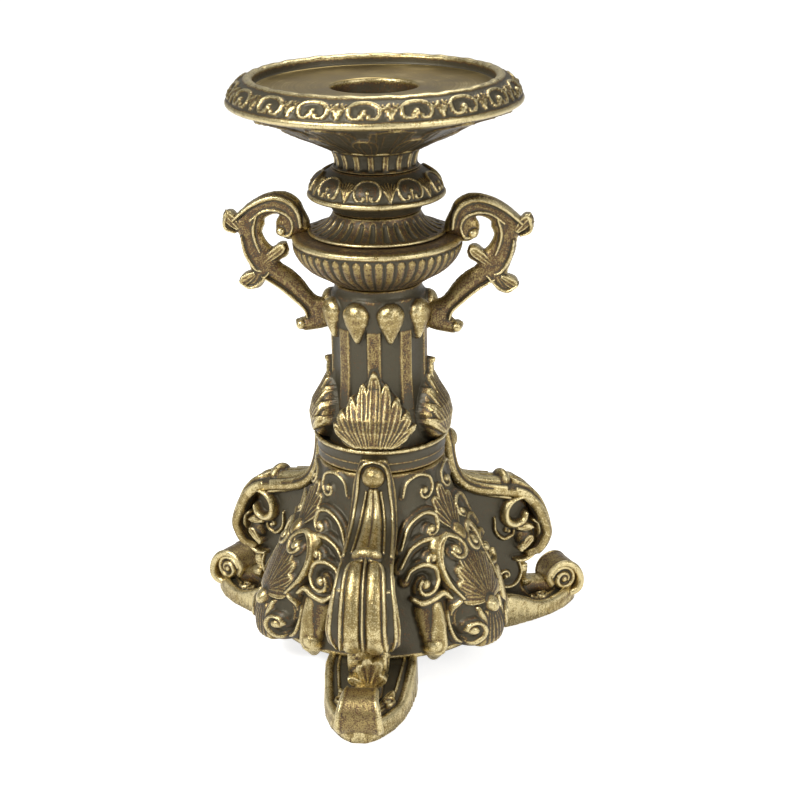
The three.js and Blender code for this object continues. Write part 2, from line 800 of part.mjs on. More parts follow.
const webOutline = [
  legSpot(0.032, 1.043), legSpot(0.049, 0.742), legSpot(0.154, 0.553), legSpot(0.399, 0.458),
  legSpot(0.609, 0.383), legSpot(0.767, 0.289), legSpot(0.842, 0.17), legSpot(0.895, -0.019),
  legSpot(0.877, -0.17), legSpot(0.772, -0.302),
  [legSpot(0.772, 0)[0], plateThickness / 2], [plateBack + 4, plateThickness / 2],
  legSpot(-0.021, 0.213),
];

/** Half outline of the foot plate: [share of its length behind the toe, share of the half width]. */
const plateHalf = [
  [0.062, 0.12], [0.109, 0.34], [0.171, 0.48], [0.264, 0.66], [0.42, 0.84], [0.591, 0.93], [0.778, 1],
];

function plateOutline(inset) {
  const edge = plateHalf.map(([behind, share]) => [
    mix(toeReach, plateBack, behind) - inset,
    plateHalfWidth * share - Math.min(inset, plateHalfWidth * share - 1),
  ]);
  const end = edge.at(-1)[1];
  const nearSide = [[plateBack + inset, end], ...edge.slice().reverse()];
  const farSide = edge.map(([x, y]) => [x, -y]);
  return [...nearSide, ...farSide, [plateBack + inset, -end]].map(([x, y]) => new THREE.Vector2(x, y));
}

function footPlate() {
  const plate = new THREE.ExtrudeGeometry(new THREE.Shape(plateOutline(0)), {
    depth: plateThickness,
    bevelEnabled: false,
  });
  plate.translate(0, 0, padProud);
  const pocket = new THREE.ExtrudeGeometry(new THREE.Shape(plateOutline(plateRimWidth)), {
    depth: platePocket + 1,
    bevelEnabled: false,
  });
  pocket.translate(0, 0, padProud + plateThickness - platePocket);
  return cut(toSolid(plate), [pocket]);
}

function toeRoll() {
  const centre = toeReach - toeRollRadius;
  const roll = new THREE.LatheGeometry(
    [[0, -1], [1, -1], [0.94, 0], [1, 1], [0, 1]].map(
      ([radius, side]) => new THREE.Vector2(radius * toeRollRadius, side * toeRollHalfWidth),
    ),
    16,
  );
  roll.translate(centre, 0, padProud + toeRollRadius);
  return roll;
}

function makeLegs() {
  const topBall = ball(ballRadius, ...legSpot(0.063, 1.066));
  const bump = ball(bumpRadius, ...legSpot(0.655, 0.519));
  const pocket = rod(padRadius + pinGap, padProud - 1, padThickness + pinGap, 16);
  pocket.translate(padReach, 0, 0);
  const bolts = boltHeights.map((height) => {
    const seat = skirtRadius(height);
    return crossPin(boltRadius + pinGap, seat - 6, seat + boltReach + pinGap, height);
  });
  const collarRoom = roomFor(collarOuter(seatGap), 36);
  const leg = cut(
    joined([sweptStrap(), web(webOutline, webHalfWidth), toeRoll(), topBall, bump]).add(footPlate()),
    [skirtPlug(seatGap), collarRoom, pocket, ...bolts],
  );
  const names = ['front', 'right', 'left'];
  for (let i = 0; i < legCount; i += 1) {
    const angle = (i * turn) / legCount - Math.PI / 2;
    const name = names[i] ?? `extra_${i}`;
    place(`leg_${name}`, toGeometry(leg), rubbedGilding(), angle);
    boltHeights.forEach((height, level) => {
      const tip = skirtRadius(height) + boltReach;
      const bolt = headedFastener(boltRadius, boltHeadRadius, boltHeadHeight, height, tip);
      place(`leg_bolt_${name}_${level + 1}`, bolt, steel(), angle);
    });
    const pad = rod(padRadius, 0, padThickness, 16);
    pad.translate(padReach, 0, 0);
    place(`felt_pad_${name}`, pad, feltGreen(), angle);
  }
}

// ---------------------------------------------------------------- carved panels

/** Half outline of a panel: [share of the half width, share of the height from foot to top]. */
const panelHalf = [
  [0, 1], [0.24, 0.95], [0.32, 0.84], [0.5, 0.77], [0.82, 0.75], [1, 0.65], [1, 0.52], [0.86, 0.43],
  [1.02, 0.34], [1.1, 0.22], [1.04, 0.1], [0.82, 0.05], [0.56, 0.09], [0.38, 0], [0, -0.02],
];

function makePanels() {
  const half = panelHalf.map(([x, z]) => [x * panelHalfWidth, mix(panelFoot, panelTop, z)]);
  const mirrored = half.slice(1, -1).reverse().map(([x, z]) => [-x, z]);
  const shape = new THREE.Shape([...half, ...mirrored].map(([x, z]) => new THREE.Vector2(x, z)));
  const blank = new THREE.ExtrudeGeometry(shape, { depth: bodySkirtRadius + 12, bevelEnabled: false });
  blank.rotateX(Math.PI / 2);
  blank.rotateZ(Math.PI / 2);
  const fan = new THREE.SphereGeometry(1, 12, 8);
  fan.scale(panelSwellOut, panelSwellAcross, panelSwellUp);
  fan.translate(skirtRadius(panelSwellHeight) + panelRelief, 0, panelSwellHeight);
  const boss = ball(panelBossRadius, skirtRadius(panelSwellHeight) + panelSwellOut, panelSwellHeight, 1.3);
  const tools = screwHeights.map((height) => {
    const seat = skirtRadius(height);
    return crossPin(screwRadius + pinGap, seat - 6, seat + screwReach + pinGap, height);
  });
  const consoleOff = Math.PI / legCount - consoleAngle * degree;
  tools.push(consolePost(consoleOff, seatGap), consolePost(-consoleOff, seatGap));
  const low = panelFoot - 4;
  const relief = toSolid(skirtPlug(panelRelief, low, panelTop + 4));
  const carved = toSolid(blank).intersect(relief).add(joined([fan, boss]));
  const panel = cut(carved.subtract(toSolid(skirtPlug(seatGap, low - 2, panelTop + 8))), tools);
  const names = ['right', 'back', 'left'];
  for (let i = 0; i < legCount; i += 1) {
    const angle = ((i + 0.5) * turn) / legCount - Math.PI / 2;
    const name = names[i] ?? `extra_${i}`;
    place(`panel_${name}`, toGeometry(panel), patina(), angle);
    screwHeights.forEach((height, level) => {
      const tip = skirtRadius(height) + screwReach;
      const screw = headedFastener(screwRadius, screwHeadRadius, screwHeadHeight, height, tip);
      place(`panel_screw_${name}_${level + 1}`, screw, steel(), angle);
    });
  }
}

// ---------------------------------------------------------------- tie rod

function makeTieRod() {
  const washerTop = bodyTop - bodyDeck - seatGap;
  const nutTop = washerTop - rodWasherThickness - seatGap;
  const rodTop = wellUnderside - 2 * seatGap;
  place('tie_rod', rod(rodRadius, nutTop - rodNutHeight - rodTail, rodTop), steel());
  const ring = (inside, outside, from, to, segments) =>
    turned([[inside, from], [outside, from], [outside, to], [inside, to], [inside, from]], segments);
  const washer = ring(boreRadius, rodWasherRadius, washerTop - rodWasherThickness, washerTop, 24);
  place('rod_washer', washer, steel());
  const hexagon = toSolid(rod(rodNutRadius, nutTop - rodNutHeight, nutTop, 6));
  const nut = cut(hexagon, [rod(boreRadius, nutTop - rodNutHeight - 1, nutTop + 1)]);
  place('rod_nut', toGeometry(nut), steel());
}

// ---------------------------------------------------------------- assembly

makeDish();
makeLeafCup();
makeNeckSpool();
makeBellCollar();
makeReededFlare();
makeGadroonBowl();
makeColumn();
makeCollar();
makeHandles();
makeTripodBody();
makeLegs();
makePanels();
makeTieRod();

// The origin is the middle of the footprint, on the floor.
stand.updateMatrixWorld(true);
const reach = new THREE.Box3().setFromObject(stand, true);
const middle = reach.getCenter(new THREE.Vector3());
stand.position.set(-middle.x, -middle.y, -reach.min.z);
stand.updateMatrixWorld(true);

export default stand;
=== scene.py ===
"""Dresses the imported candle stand: carved, gilded castings stand for the plain solids."""

import math

import bmesh
import bpy
import numpy as np
from bpy.props import FloatProperty, FloatVectorProperty, IntProperty, PointerProperty
from mathutils import Matrix, Vector


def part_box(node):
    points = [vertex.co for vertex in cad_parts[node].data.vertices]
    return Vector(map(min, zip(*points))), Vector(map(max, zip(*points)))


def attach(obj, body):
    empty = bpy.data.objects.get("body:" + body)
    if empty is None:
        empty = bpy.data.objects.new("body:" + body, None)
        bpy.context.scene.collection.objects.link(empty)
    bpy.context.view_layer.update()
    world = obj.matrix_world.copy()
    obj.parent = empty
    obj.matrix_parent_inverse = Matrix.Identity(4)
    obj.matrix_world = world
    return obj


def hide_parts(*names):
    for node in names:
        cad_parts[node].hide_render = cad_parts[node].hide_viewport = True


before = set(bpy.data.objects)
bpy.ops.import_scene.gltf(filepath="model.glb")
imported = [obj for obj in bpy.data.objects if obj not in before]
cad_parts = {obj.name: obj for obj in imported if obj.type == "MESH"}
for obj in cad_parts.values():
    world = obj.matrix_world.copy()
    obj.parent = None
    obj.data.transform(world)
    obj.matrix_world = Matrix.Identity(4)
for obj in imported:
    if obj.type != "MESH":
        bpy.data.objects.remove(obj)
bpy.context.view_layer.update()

bl_info = {
    "name": "Tripod candle stand",
    "version": (1, 0, 0),
    "blender": (4, 5, 0),
    "location": "View3D > Sidebar > Candle stand",
    "description": "Carved and gilded castings round the packed candle stand",
    "category": "Object",
}

# ------------------------------------------------------------------ the frame

MM = 0.001
TAU = 2 * math.pi
FRONT = -math.pi / 2
_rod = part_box("tie_rod")
AXIS = Vector(((_rod[0][0] + _rod[1][0]) / 2, (_rod[0][1] + _rod[1][1]) / 2, 0))
BORE = 4.4
SPIGOT = 9.4


def span(node):
    """Lowest and highest height of a CAD node, in mm."""
    low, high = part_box(node)
    return low[2] / MM, high[2] / MM


BODY_LOW = span("tripod_body")[0]
BODY_TOP = BODY_LOW + 85.7


def skirt(z):
    """Radius of the tripod body's skirt at a height."""
    fall = np.clip((BODY_TOP - z) / (BODY_TOP - BODY_LOW), 0, 1)
    return 31.2 + 25.8 * np.sin(np.pi / 2 * fall**1.5)


# ------------------------------------------------------------------ the user's sizes and colours


def colour(name, description, default):
    return FloatVectorProperty(name=name, description=description, subtype="COLOR", default=default)


class StandFinish(bpy.types.PropertyGroup):
    """Colours and gloss of the gilding and of the patina under it."""

    ground: colour("Ground", "Dark patina in the hollows", (0.080, 0.068, 0.040))
    bole: colour("Bole", "Reddish clay where the gold has worn thin", (0.15, 0.058, 0.018))
    gold: colour("Gold", "Rubbed gold leaf", (0.345, 0.255, 0.098))
    # Pale gold is partly burnished gold on the sharpest edges and partly a painted highlight at the top of
    # the gilding ramp.
    pale_gold_and_highlight: colour("Pale gold", "Gold on the sharpest edges", (0.74, 0.62, 0.33))
    felt: colour("Felt", "Felt under the feet", (0.03, 0.045, 0.025))
    steel: colour("Steel", "Rod, bolts, screws and dowels", (0.30, 0.30, 0.29))
    gloss: FloatProperty(
        name="Roughness", description="Roughness of the gold", default=0.30, min=0.05, max=1, subtype="FACTOR"
    )


class StandCarving(bpy.types.PropertyGroup):
    """Counts and fineness of the ornament."""

    rim_scrolls: IntProperty(name="Rim scrolls", description="Scrolls round the dish's rim", default=18,
                             min=3)
    bell_scrolls: IntProperty(name="Bell scrolls", description="Scrolls round the bell", default=9, min=3)
    neck_flutes: IntProperty(name="Neck flutes", description="Flutes round the neck", default=18, min=3)
    reeds: IntProperty(name="Reeds", description="Grooves round the flare", default=26, min=3)
    gadroons: IntProperty(name="Gadroons", description="Gadroons round the bowl", default=48, min=3)
    modules: IntProperty(name="Drops", description="Drops and strips round the column", default=9, min=3)
    palmettes: IntProperty(name="Palmettes", description="Palmettes round the column", default=4, min=3)
    cell: FloatProperty(name="Casting grain", description="Finest step of the castings, in mm",
                        default=0.45, min=0.2)


class StudioSettings(bpy.types.PropertyGroup):
    """Camera and lamps."""

    lens: FloatProperty(name="Lens", description="Focal length in mm", default=79.2, min=10)
    yaw: FloatProperty(name="Turn", description="Turn of the view", default=math.radians(6.3),
                       subtype="ANGLE")
    pitch: FloatProperty(name="Tilt", description="Tilt down", default=math.radians(20.04), subtype="ANGLE")
    roll: FloatProperty(name="Roll", description="Roll of the view", default=math.radians(-0.96),
                        subtype="ANGLE")
    key: FloatProperty(name="Key", description="Power of the key lamp", default=11.0, unit="POWER")
    fill: FloatProperty(name="Fill", description="Power of the fill lamp", default=3.5, unit="POWER")
    top: FloatProperty(name="Top", description="Power of the top lamp", default=4.0, unit="POWER")


# ------------------------------------------------------------------ shapes


def resampled(points, step):
    """A polyline with a corner every step mm: sharp bends eased a little, wider steps on plain runs."""
    fine = []
    for (x0, y0), (x1, y1) in zip(points, points[1:]):
        length = math.hypot(x1 - x0, y1 - y0)
        count = max(1, round(length / (step if length < 16 else step * 5)))
        fine += [(x0 + (x1 - x0) * i / count, y0 + (y1 - y0) * i / count) for i in range(count)]
    fine = np.array(fine + [points[-1]])
    for _ in range(2):
        fine[1:-1] = fine[1:-1] * 0.5 + (fine[:-2] + fine[2:]) * 0.25
    return fine


def patch(columns, rows):
    """A flat grid with each corner's share of the way across and up."""
    bm = bmesh.new()
    bmesh.ops.create_grid(bm, x_segments=columns, y_segments=rows, size=1)
    flat = np.array([vert.co[:2] for vert in bm.verts])
    return bm, (flat[:, 0] + 1) / 2, (flat[:, 1] + 1) / 2


def turned(outer, steps, step=0.7, ends="bore"):
    """A grid rolled round the stack's axis along a profile of [radius, height].

    The profile goes round the rod's bore, closes on itself as a ring, or starts and ends on the axis.
    """
    points = resampled(outer, step)
    if ends == "bore":
        points = np.vstack([points, (BORE, points[-1][1]), (BORE, points[0][1]), points[0]])
    if ends == "ring":
        points = np.vstack([points, points[0]])
    bm, across, up = patch(steps, len(points) - 1)
    row = np.rint(up * (len(points) - 1)).astype(int)
    angle = FRONT + TAU * across
    radius, height = points[row].T
    move_to(bm, np.stack([radius * np.cos(angle), radius * np.sin(angle), height], 1))
    bmesh.ops.remove_doubles(bm, verts=bm.verts, dist=1e-3)
    bmesh.ops.recalc_face_normals(bm, faces=bm.faces)
    return bm


def corners(bm):
    """Positions and normals of all corners as arrays."""
    bm.normal_update()
    place = np.array([vert.co[:] for vert in bm.verts])
    normal = np.array([vert.normal[:] for vert in bm.verts])
    return place, normal


def move_to(bm, place):
    """Moves every corner to its row of place."""
    for vert, spot in zip(bm.verts, place.tolist()):
        vert.co = spot


def note(bm, values):
    """Keeps how much each corner is gilded in a layer that later copies of it share."""
    layer = bm.verts.layers.float.new("gilt")
    for vert, value in zip(bm.verts, values.tolist()):
        vert[layer] = value


def backed(bm, back):
    """Closes a sheet into a shell; back is where the copy of each corner goes."""
    layer = bm.verts.layers.float_vector.new("back")
    for vert, spot in zip(bm.verts, back.tolist()):
        vert[layer] = spot
    made = bmesh.ops.extrude_face_region(bm, geom=bm.faces[:] + bm.edges[:] + bm.verts[:],
                                         use_keep_orig=True)
    for vert in made["geom"]:
        if isinstance(vert, bmesh.types.BMVert):
            vert.co = vert[layer]
    bm.verts.layers.float_vector.remove(layer)
    bmesh.ops.remove_doubles(bm, verts=bm.verts, dist=1e-3)
    bmesh.ops.recalc_face_normals(bm, faces=bm.faces)


def rise(value, low, high):
    """Smooth step from 0 at low to 1 at high."""
    share = np.clip((value - low) / (high - low), 0, 1)
    return share * share * (3 - 2 * share)


def band(value, low, high, soft):
    """1 between low and high, falling off over soft at both ends."""
    return rise(value, low - soft / 2, low + soft / 2) * (1 - rise(value, high - soft / 2, high + soft / 2))


def off_centre(angle, count, first=FRONT):
    """Signed angle from the nearest of count evenly spaced centres."""
    pitch = TAU / count
    return (angle - first + pitch / 2) % pitch - pitch / 2


class Relief:
    """Heights over a flat pair of coordinates, built up stamp by stamp, in mm."""

    def __init__(self, across, up, ground=0.0):
        self.across, self.up = across, up
        self.height = np.full(len(across), float(ground))
        self.gilt = np.zeros(len(across))

    def near(self, points, reach):
        """Indices of the corners inside the points' box grown by reach."""
        low, high = np.min(points, axis=0) - reach, np.max(points, axis=0) + reach
        inside = (self.across > low[0]) & (self.across < high[0]) & (self.up > low[1]) & (self.up < high[1])
        return np.nonzero(inside)[0]

    def raise_to(self, where, height, gilt=0.0):
        """Lifts the corners to a height where that is higher."""
        higher = height > self.height[where]
        self.height[where] = np.maximum(self.height[where], height)
        self.gilt[where] = np.where(higher, gilt, self.gilt[where])

    def bead(self, points, width, height, base=0.0, gilt=0.0, power=0.5):
        """A rounded line; width is its half width, one number or one a point."""
        points = np.array(points, float)
        widths = np.full(len(points), width, float) if np.isscalar(width) else np.array(width, float)
        widths = np.interp(np.linspace(0, 1, len(points)), np.linspace(0, 1, len(widths)), widths)
        where = self.near(points, widths.max())
        if not len(where):
            return
        spot = np.stack([self.across[where], self.up[where]], 1)
        share = np.full(len(where), 9.0)
        for a, b, wa, wb in zip(points, points[1:], widths, widths[1:]):
            edge = b - a
            along = np.clip(((spot - a) @ edge) / max(edge @ edge, 1e-9), 0, 1)
            away = np.linalg.norm(spot - a - along[:, None] * edge, axis=1)
            share = np.minimum(share, away / (wa + (wb - wa) * along))
        hit = share < 1
        self.raise_to(where[hit], base + height * (1 - share[hit] ** 2) ** power, gilt)

    def ball(self, centre, radius, height, base=0.0, gilt=0.3, power=0.5):
        """A rounded boss; radius may be a pair."""
        across, up = (radius, radius) if np.isscalar(radius) else radius
        where = self.near(np.array([centre]), max(across, up))
        away = ((self.across[where] - centre[0]) / across) ** 2 + ((self.up[where] - centre[1]) / up) ** 2
        hit = away < 1
        self.raise_to(where[hit], base + height * (1 - away[hit]) ** power, gilt)

    def plate(self, points, height, soft, base=0.0, gilt=0.0):
        """A filled outline whose edge rounds down over soft mm."""
        points = np.array(points, float)
        where = self.near(points, 0.5)
        x, y = self.across[where], self.up[where]
        inside, away = np.zeros(len(where), bool), np.full(len(where), 1e9)
        for (x0, y0), (x1, y1) in zip(points, np.roll(points, -1, axis=0)):
            crosses = (y0 > y) != (y1 > y)
            inside ^= crosses & (x < (x1 - x0) * (y - y0) / (y1 - y0 + 1e-12) + x0)
            share = ((x - x0) * (x1 - x0) + (y - y0) * (y1 - y0)) / max((x1 - x0) ** 2 + (y1 - y0) ** 2,
                    1e-9)
            share = np.clip(share, 0, 1)
            away = np.minimum(away, np.hypot(x - x0 - share * (x1 - x0), y - y0 - share * (y1 - y0)))
        share = np.clip(away[inside] / soft, 0, 1)
        self.raise_to(where[inside], base + height * np.sqrt(1 - (1 - share) ** 2), gilt)

    def petal(self, root, tip, half, height, base=0.0, veins=2, gilt=0.0):
        """A leaf lobe from root to a round tip, with raised double outlines."""
        root, tip = np.array(root, float), np.array(tip, float)
        where = self.near(np.array([root, tip]), half + 0.5)
        axis = tip - root
        length = np.linalg.norm(axis)
        axis /= length
        spot = np.stack([self.across[where], self.up[where]], 1) - root
        along = (spot @ axis) / length
        side = np.abs(spot @ np.array([-axis[1], axis[0]]))
        cap = np.sqrt(np.clip(1 - ((along - 0.72) / 0.28) ** 2, 0, 1))
        swell = np.where(along < 0.72, 0.42 + 0.58 * np.sin(np.pi / 2 * np.clip(along / 0.72, 0, 1)), cap)
        wide = np.maximum(half * swell, 1e-3)
        share = side / wide
        hit = (along > 0) & (along < 1) & (share < 1)
        share, along, wide = share[hit], along[hit], wide[hit]
        body = np.sqrt(1 - share**2) * 0.5 + 0.5
        line = 0.30 + 0.02 * half
        ridge = 0.42 * np.exp(-(((share - 0.86) * wide) / line) ** 2)
        if veins > 1:
            ridge += 0.3 * np.exp(-(((share - 0.38) * wide) / line) ** 2) * rise(along, 0.02, 0.2)
        if veins == 1:
            ridge += 0.35 * np.exp(-((share * wide) / line) ** 2)
        self.raise_to(where[hit], base + height * body * (0.7 + 0.3 * along) + ridge, gilt)


def spiral(centre, start, turns, outside, inside, count=26):
    """Points of a scroll that winds in from its outside radius; turns may be negative."""
    points = []
    for i in range(count + 1):
        share = i / count
        radius = outside + (inside - outside) * share**0.8
        angle = start + turns * TAU * share
        points.append((centre[0] + radius * math.cos(angle), centre[1] + radius * math.sin(angle)))
    return points


def curve(points, count=8):
    """A smooth line through the points."""
    spots = [np.array(point, float) for point in points]
    spots = [2 * spots[0] - spots[1], *spots, 2 * spots[-1] - spots[-2]]
    line = []
    for a, b, c, d in zip(spots, spots[1:], spots[2:], spots[3:]):
        for i in range(count):
            t = i / count
            bend = (2 * a - 5 * b + 4 * c - d) * t**2 + (3 * b - a - 3 * c + d) * t**3
            line.append(0.5 * (2 * b + (c - a) * t + bend))
    line.append(spots[-2])
    return [tuple(point) for point in line]


def pillow(draw, low, high, cell, flat=False):
    """A rounded solid from a picture of its half thickness, or of its thickness over a flat back."""
    columns, rows = (max(2, round((b - a) / cell)) for a, b in zip(low, high))
    bm, across, up = patch(columns, rows)
    work = Relief(low[0] + across * (high[0] - low[0]), low[1] + up * (high[1] - low[1]), -1.0)
    draw(work)
    note(bm, work.gilt)
    move_to(bm, np.stack([work.across, work.up, np.maximum(work.height, 0)], 1))
    empty = [face for face in bm.faces if all(vert.co.z <= 0 for vert in face.verts)]
    bmesh.ops.delete(bm, geom=empty, context="FACES")
    edge = [vert for vert in bm.verts if vert.is_boundary]
    for vert in edge:
        vert.co.z = 0
    for _ in range(3):
        bmesh.ops.smooth_vert(bm, verts=edge, factor=0.5, use_axis_x=True, use_axis_y=True)
    place = np.array([vert.co[:] for vert in bm.verts])
    backed(bm, place * (1, 1, 0 if flat else -1))
    return bm


def swept(draw, line, columns, rows, thickness):
    """A ribbon along a line of [out, up, half width], with a relief on its face."""
    bm, across, up = patch(columns, rows)
    line = np.array(curve(line, 10))
    travelled = np.concatenate([[0], np.cumsum(np.hypot(*np.diff(line[:, :2], axis=0).T))])
    slope = np.gradient(line[:, :2], travelled, axis=0)
    along = up * travelled[-1]
    out, height, half, lean, drop = (
        np.interp(along, travelled, values) for values in (line[:, 0], line[:, 1], line[:, 2], *slope.T)
    )
    share = across * 2 - 1
    work = Relief(share * half, along)
    draw(work, half)
    note(bm, work.gilt)
    length = np.hypot(lean, drop)
    lift = work.height - 1.8 * np.abs(share) ** 9

    def at(offset, narrow):
        return np.stack([out - drop / length * offset, share * half * narrow,
                         height + lean / length * offset], 1)

    move_to(bm, at(lift, 1))
    backed(bm, at(-thickness * np.ones(len(lift)), 0.92))
    return bm


# ------------------------------------------------------------------ gilding


def rubbed(mesh, rounds):
    """How far each corner stands out of its smoothed neighbourhood, in mm."""
    count = len(mesh.vertices)
    place = np.empty(count * 3)
    mesh.vertices.foreach_get("co", place)
    place = place.reshape(-1, 3)
    normal = np.empty(count * 3)
    mesh.vertices.foreach_get("normal", normal)
    normal = normal.reshape(-1, 3)
    ends = np.empty(len(mesh.edges) * 2, dtype=np.int64)
    mesh.edges.foreach_get("vertices", ends)
    a, b = ends.reshape(-1, 2).T
    degree = np.maximum(np.bincount(a, minlength=count) + np.bincount(b, minlength=count), 1)
    soft = place.copy()
    found = []
    for turn in range(1, max(rounds) + 1):
        for axis in range(3):
            total = np.bincount(a, soft[b, axis], count) + np.bincount(b, soft[a, axis], count)
            soft[:, axis] = 0.5 * soft[:, axis] + 0.5 * total / degree
        if turn in rounds:
            found.append(((place - soft) * normal).sum(1) / MM)
    return found


def gild(mesh, reach=0.16, rounds=9, lift=0.0):
    """Turns the noted gilding into the "gilding" attribute: 0 is bare patina, 1 thick gold."""
    fine, broad = rubbed(mesh, (rounds, rounds * 5))
    noted = mesh.attributes["gilt"]
    value = np.empty(len(mesh.vertices), dtype=np.float32)
    noted.data.foreach_get("value", value)
    value = 0.27 + lift + value + 0.38 * np.clip(fine / reach, -1.2,
            1.2) + 0.16 * np.clip(broad / reach / 4, -1, 1)
    mesh.attributes.remove(noted)
    layer = mesh.attributes.new("gilding", "FLOAT", "POINT")
    layer.data.foreach_set("value", np.clip(value, 0, 1).astype(np.float32))


def node(tree, kind, **inputs):
    """A new shader node with its input sockets set by name."""
    new = tree.nodes.new(kind)
    for name, value in inputs.items():
        new.inputs[name.replace("_", " ")].default_value = value
    return new


def maths(tree, operation, *values):
    """A math node; each value is a number or a socket."""
    new = tree.nodes.new("ShaderNodeMath")
    new.operation = operation
    for i, value in enumerate(values):
        if isinstance(value, (int, float)):
            new.inputs[i].default_value = value
        else:
            tree.links.new(value, new.inputs[i])
    return new.outputs[0]


def ramp(tree, factor, stops):
    """A colour ramp through (place, colour) stops."""
    new = tree.nodes.new("ShaderNodeValToRGB")
    tree.links.new(factor, new.inputs["Fac"])
    elements = new.color_ramp.elements
    while len(elements) < len(stops):
        elements.new(0.5)
    for element, (place, colour) in zip(elements, stops):
        element.position = place
        element.color = (*colour, 1)
    return new.outputs["Color"]


def noise(tree, place, scale, detail=4.0, roughness=0.6):
    """Noise on object coordinates."""
    new = node(tree, "ShaderNodeTexNoise", Scale=scale, Detail=detail, Roughness=roughness)
    tree.links.new(place, new.inputs["Vector"])
    return new.outputs["Fac"]


def fresh(name):
    """An empty node material with a Principled shader."""
    material = bpy.data.materials.new(name)
    material.use_nodes = True
    tree = material.node_tree
    tree.nodes.clear()
    shader = tree.nodes.new("ShaderNodeBsdfPrincipled")
    output = tree.nodes.new("ShaderNodeOutputMaterial")
    tree.links.new(shader.outputs["BSDF"], output.inputs["Surface"])
    return material, tree, shader


def gilded_bronze(name, finish, shift=0.0, pits=1.0):
    """Gold leaf rubbed over a dark ground, guided by the gilding attribute; pale gold on the most raised
    edges is partly a painted highlight.
    """
    material, tree, shader = fresh(name)
    place = tree.nodes.new("ShaderNodeTexCoord").outputs["Object"]
    attribute = tree.nodes.new("ShaderNodeAttribute")
    attribute.attribute_name = "gilding"
    speckle = noise(tree, place, 1500, 3)
    blotch = noise(tree, place, 330, 4)
    cloud = noise(tree, place, 70, 3)
    amount = maths(tree, "ADD", attribute.outputs["Fac"], shift)
    amount = maths(tree, "MULTIPLY_ADD", maths(tree, "SUBTRACT", speckle, 0.5), 1.1 * pits, amount)
    amount = maths(tree, "MULTIPLY_ADD", maths(tree, "SUBTRACT", blotch, 0.5), 0.6, amount)
    amount = maths(tree, "MULTIPLY_ADD", maths(tree, "SUBTRACT", cloud, 0.5), 0.3, amount)
    ground, bole, gold, pale_gold_and_highlight = (tuple(getattr(finish, part)) for part in ("ground", "bole", "gold", "pale_gold_and_highlight"))
    dull = tuple(0.45 * a + 0.55 * b for a, b in zip(ground, gold))
    stops = [(0.30, ground), (0.43, tuple(0.6 * a + 0.4 * b for a, b in zip(ground, bole)))]
    # The last stop, pale gold at full gilding, is partly a painted highlight on the most raised edges.
    stops += [(0.49, bole), (0.55, dull), (0.68, gold), (0.82, gold), (1.0, pale_gold_and_highlight)]
    tree.links.new(ramp(tree, amount, stops), shader.inputs["Base Color"])
    leaf = maths(tree, "MINIMUM", maths(tree, "MAXIMUM", maths(tree, "MULTIPLY_ADD", amount, 3.2, -1.35),
                                        0.0), 1.0)
    tree.links.new(maths(tree, "MULTIPLY_ADD", leaf, 0.35, 0.6), shader.inputs["Metallic"])
    rough = maths(tree, "MULTIPLY_ADD", leaf, finish.gloss - 0.46, 0.46)
    rough = maths(tree, "MULTIPLY_ADD", maths(tree, "SUBTRACT", blotch, 0.5), 0.18, rough)
    tree.links.new(rough, shader.inputs["Roughness"])
    bump = node(tree, "ShaderNodeBump", Strength=0.6, Distance=0.0006)
    grain = maths(tree, "MULTIPLY_ADD", speckle, 0.5, maths(tree, "MULTIPLY", blotch, 0.8))
    tree.links.new(grain, bump.inputs["Height"])
    tree.links.new(bump.outputs["Normal"], shader.inputs["Normal"])
    shader.inputs["Coat Weight"].default_value = 0.12
    shader.inputs["Coat Roughness"].default_value = 0.25
    return material


def brushed_gold(name, finish):
    """The dish floor: thin brownish gold, polished in rings round the axis."""
    material, tree, shader = fresh(name)
    coordinates = tree.nodes.new("ShaderNodeTexCoord")
    centred = node(tree, "ShaderNodeMapping")
    centred.inputs["Location"].default_value = (-AXIS.x, -AXIS.y, 0)
    tree.links.new(coordinates.outputs["Object"], centred.inputs["Vector"])
    split = tree.nodes.new("ShaderNodeSeparateXYZ")
    tree.links.new(centred.outputs["Vector"], split.inputs[0])
    x, y = split.outputs["X"], split.outputs["Y"]
    radius = maths(tree, "SQRT", maths(tree, "ADD", maths(tree, "MULTIPLY", x, x),
                                       maths(tree, "MULTIPLY", y, y)))
    rings = node(tree, "ShaderNodeTexNoise", Scale=1.0, Detail=3.0)
    rings.noise_dimensions = "1D"
    tree.links.new(maths(tree, "MULTIPLY", radius, 900.0), rings.inputs["W"])
    place = coordinates.outputs["Object"]
    blotch, fine = noise(tree, place, 55, 5), noise(tree, place, 600, 3)
    amount = maths(tree, "MULTIPLY_ADD", blotch, 0.9, maths(tree, "MULTIPLY", rings.outputs["Fac"], 0.35))
    amount = maths(tree, "MULTIPLY_ADD", fine, 0.15, amount)
    bole, gold, pale_gold_and_highlight = (tuple(getattr(finish, part)) for part in ("bole", "gold", "pale_gold_and_highlight"))
    brown = tuple(0.55 * a + 0.45 * b for a, b in zip(bole, gold))
    stops = [(0.36, brown), (0.6, tuple(0.75 * c for c in gold)), (0.78, gold),
             (0.98, tuple(0.8 * c for c in pale_gold_and_highlight))]
    tree.links.new(ramp(tree, amount, stops), shader.inputs["Base Color"])
    tree.links.new(maths(tree, "MULTIPLY_ADD", blotch, 0.25, 0.22), shader.inputs["Roughness"])
    bump = node(tree, "ShaderNodeBump", Strength=0.2, Distance=0.0003)
    tree.links.new(rings.outputs["Fac"], bump.inputs["Height"])
    tree.links.new(bump.outputs["Normal"], shader.inputs["Normal"])
    shader.inputs["Metallic"].default_value = 0.92
    return material


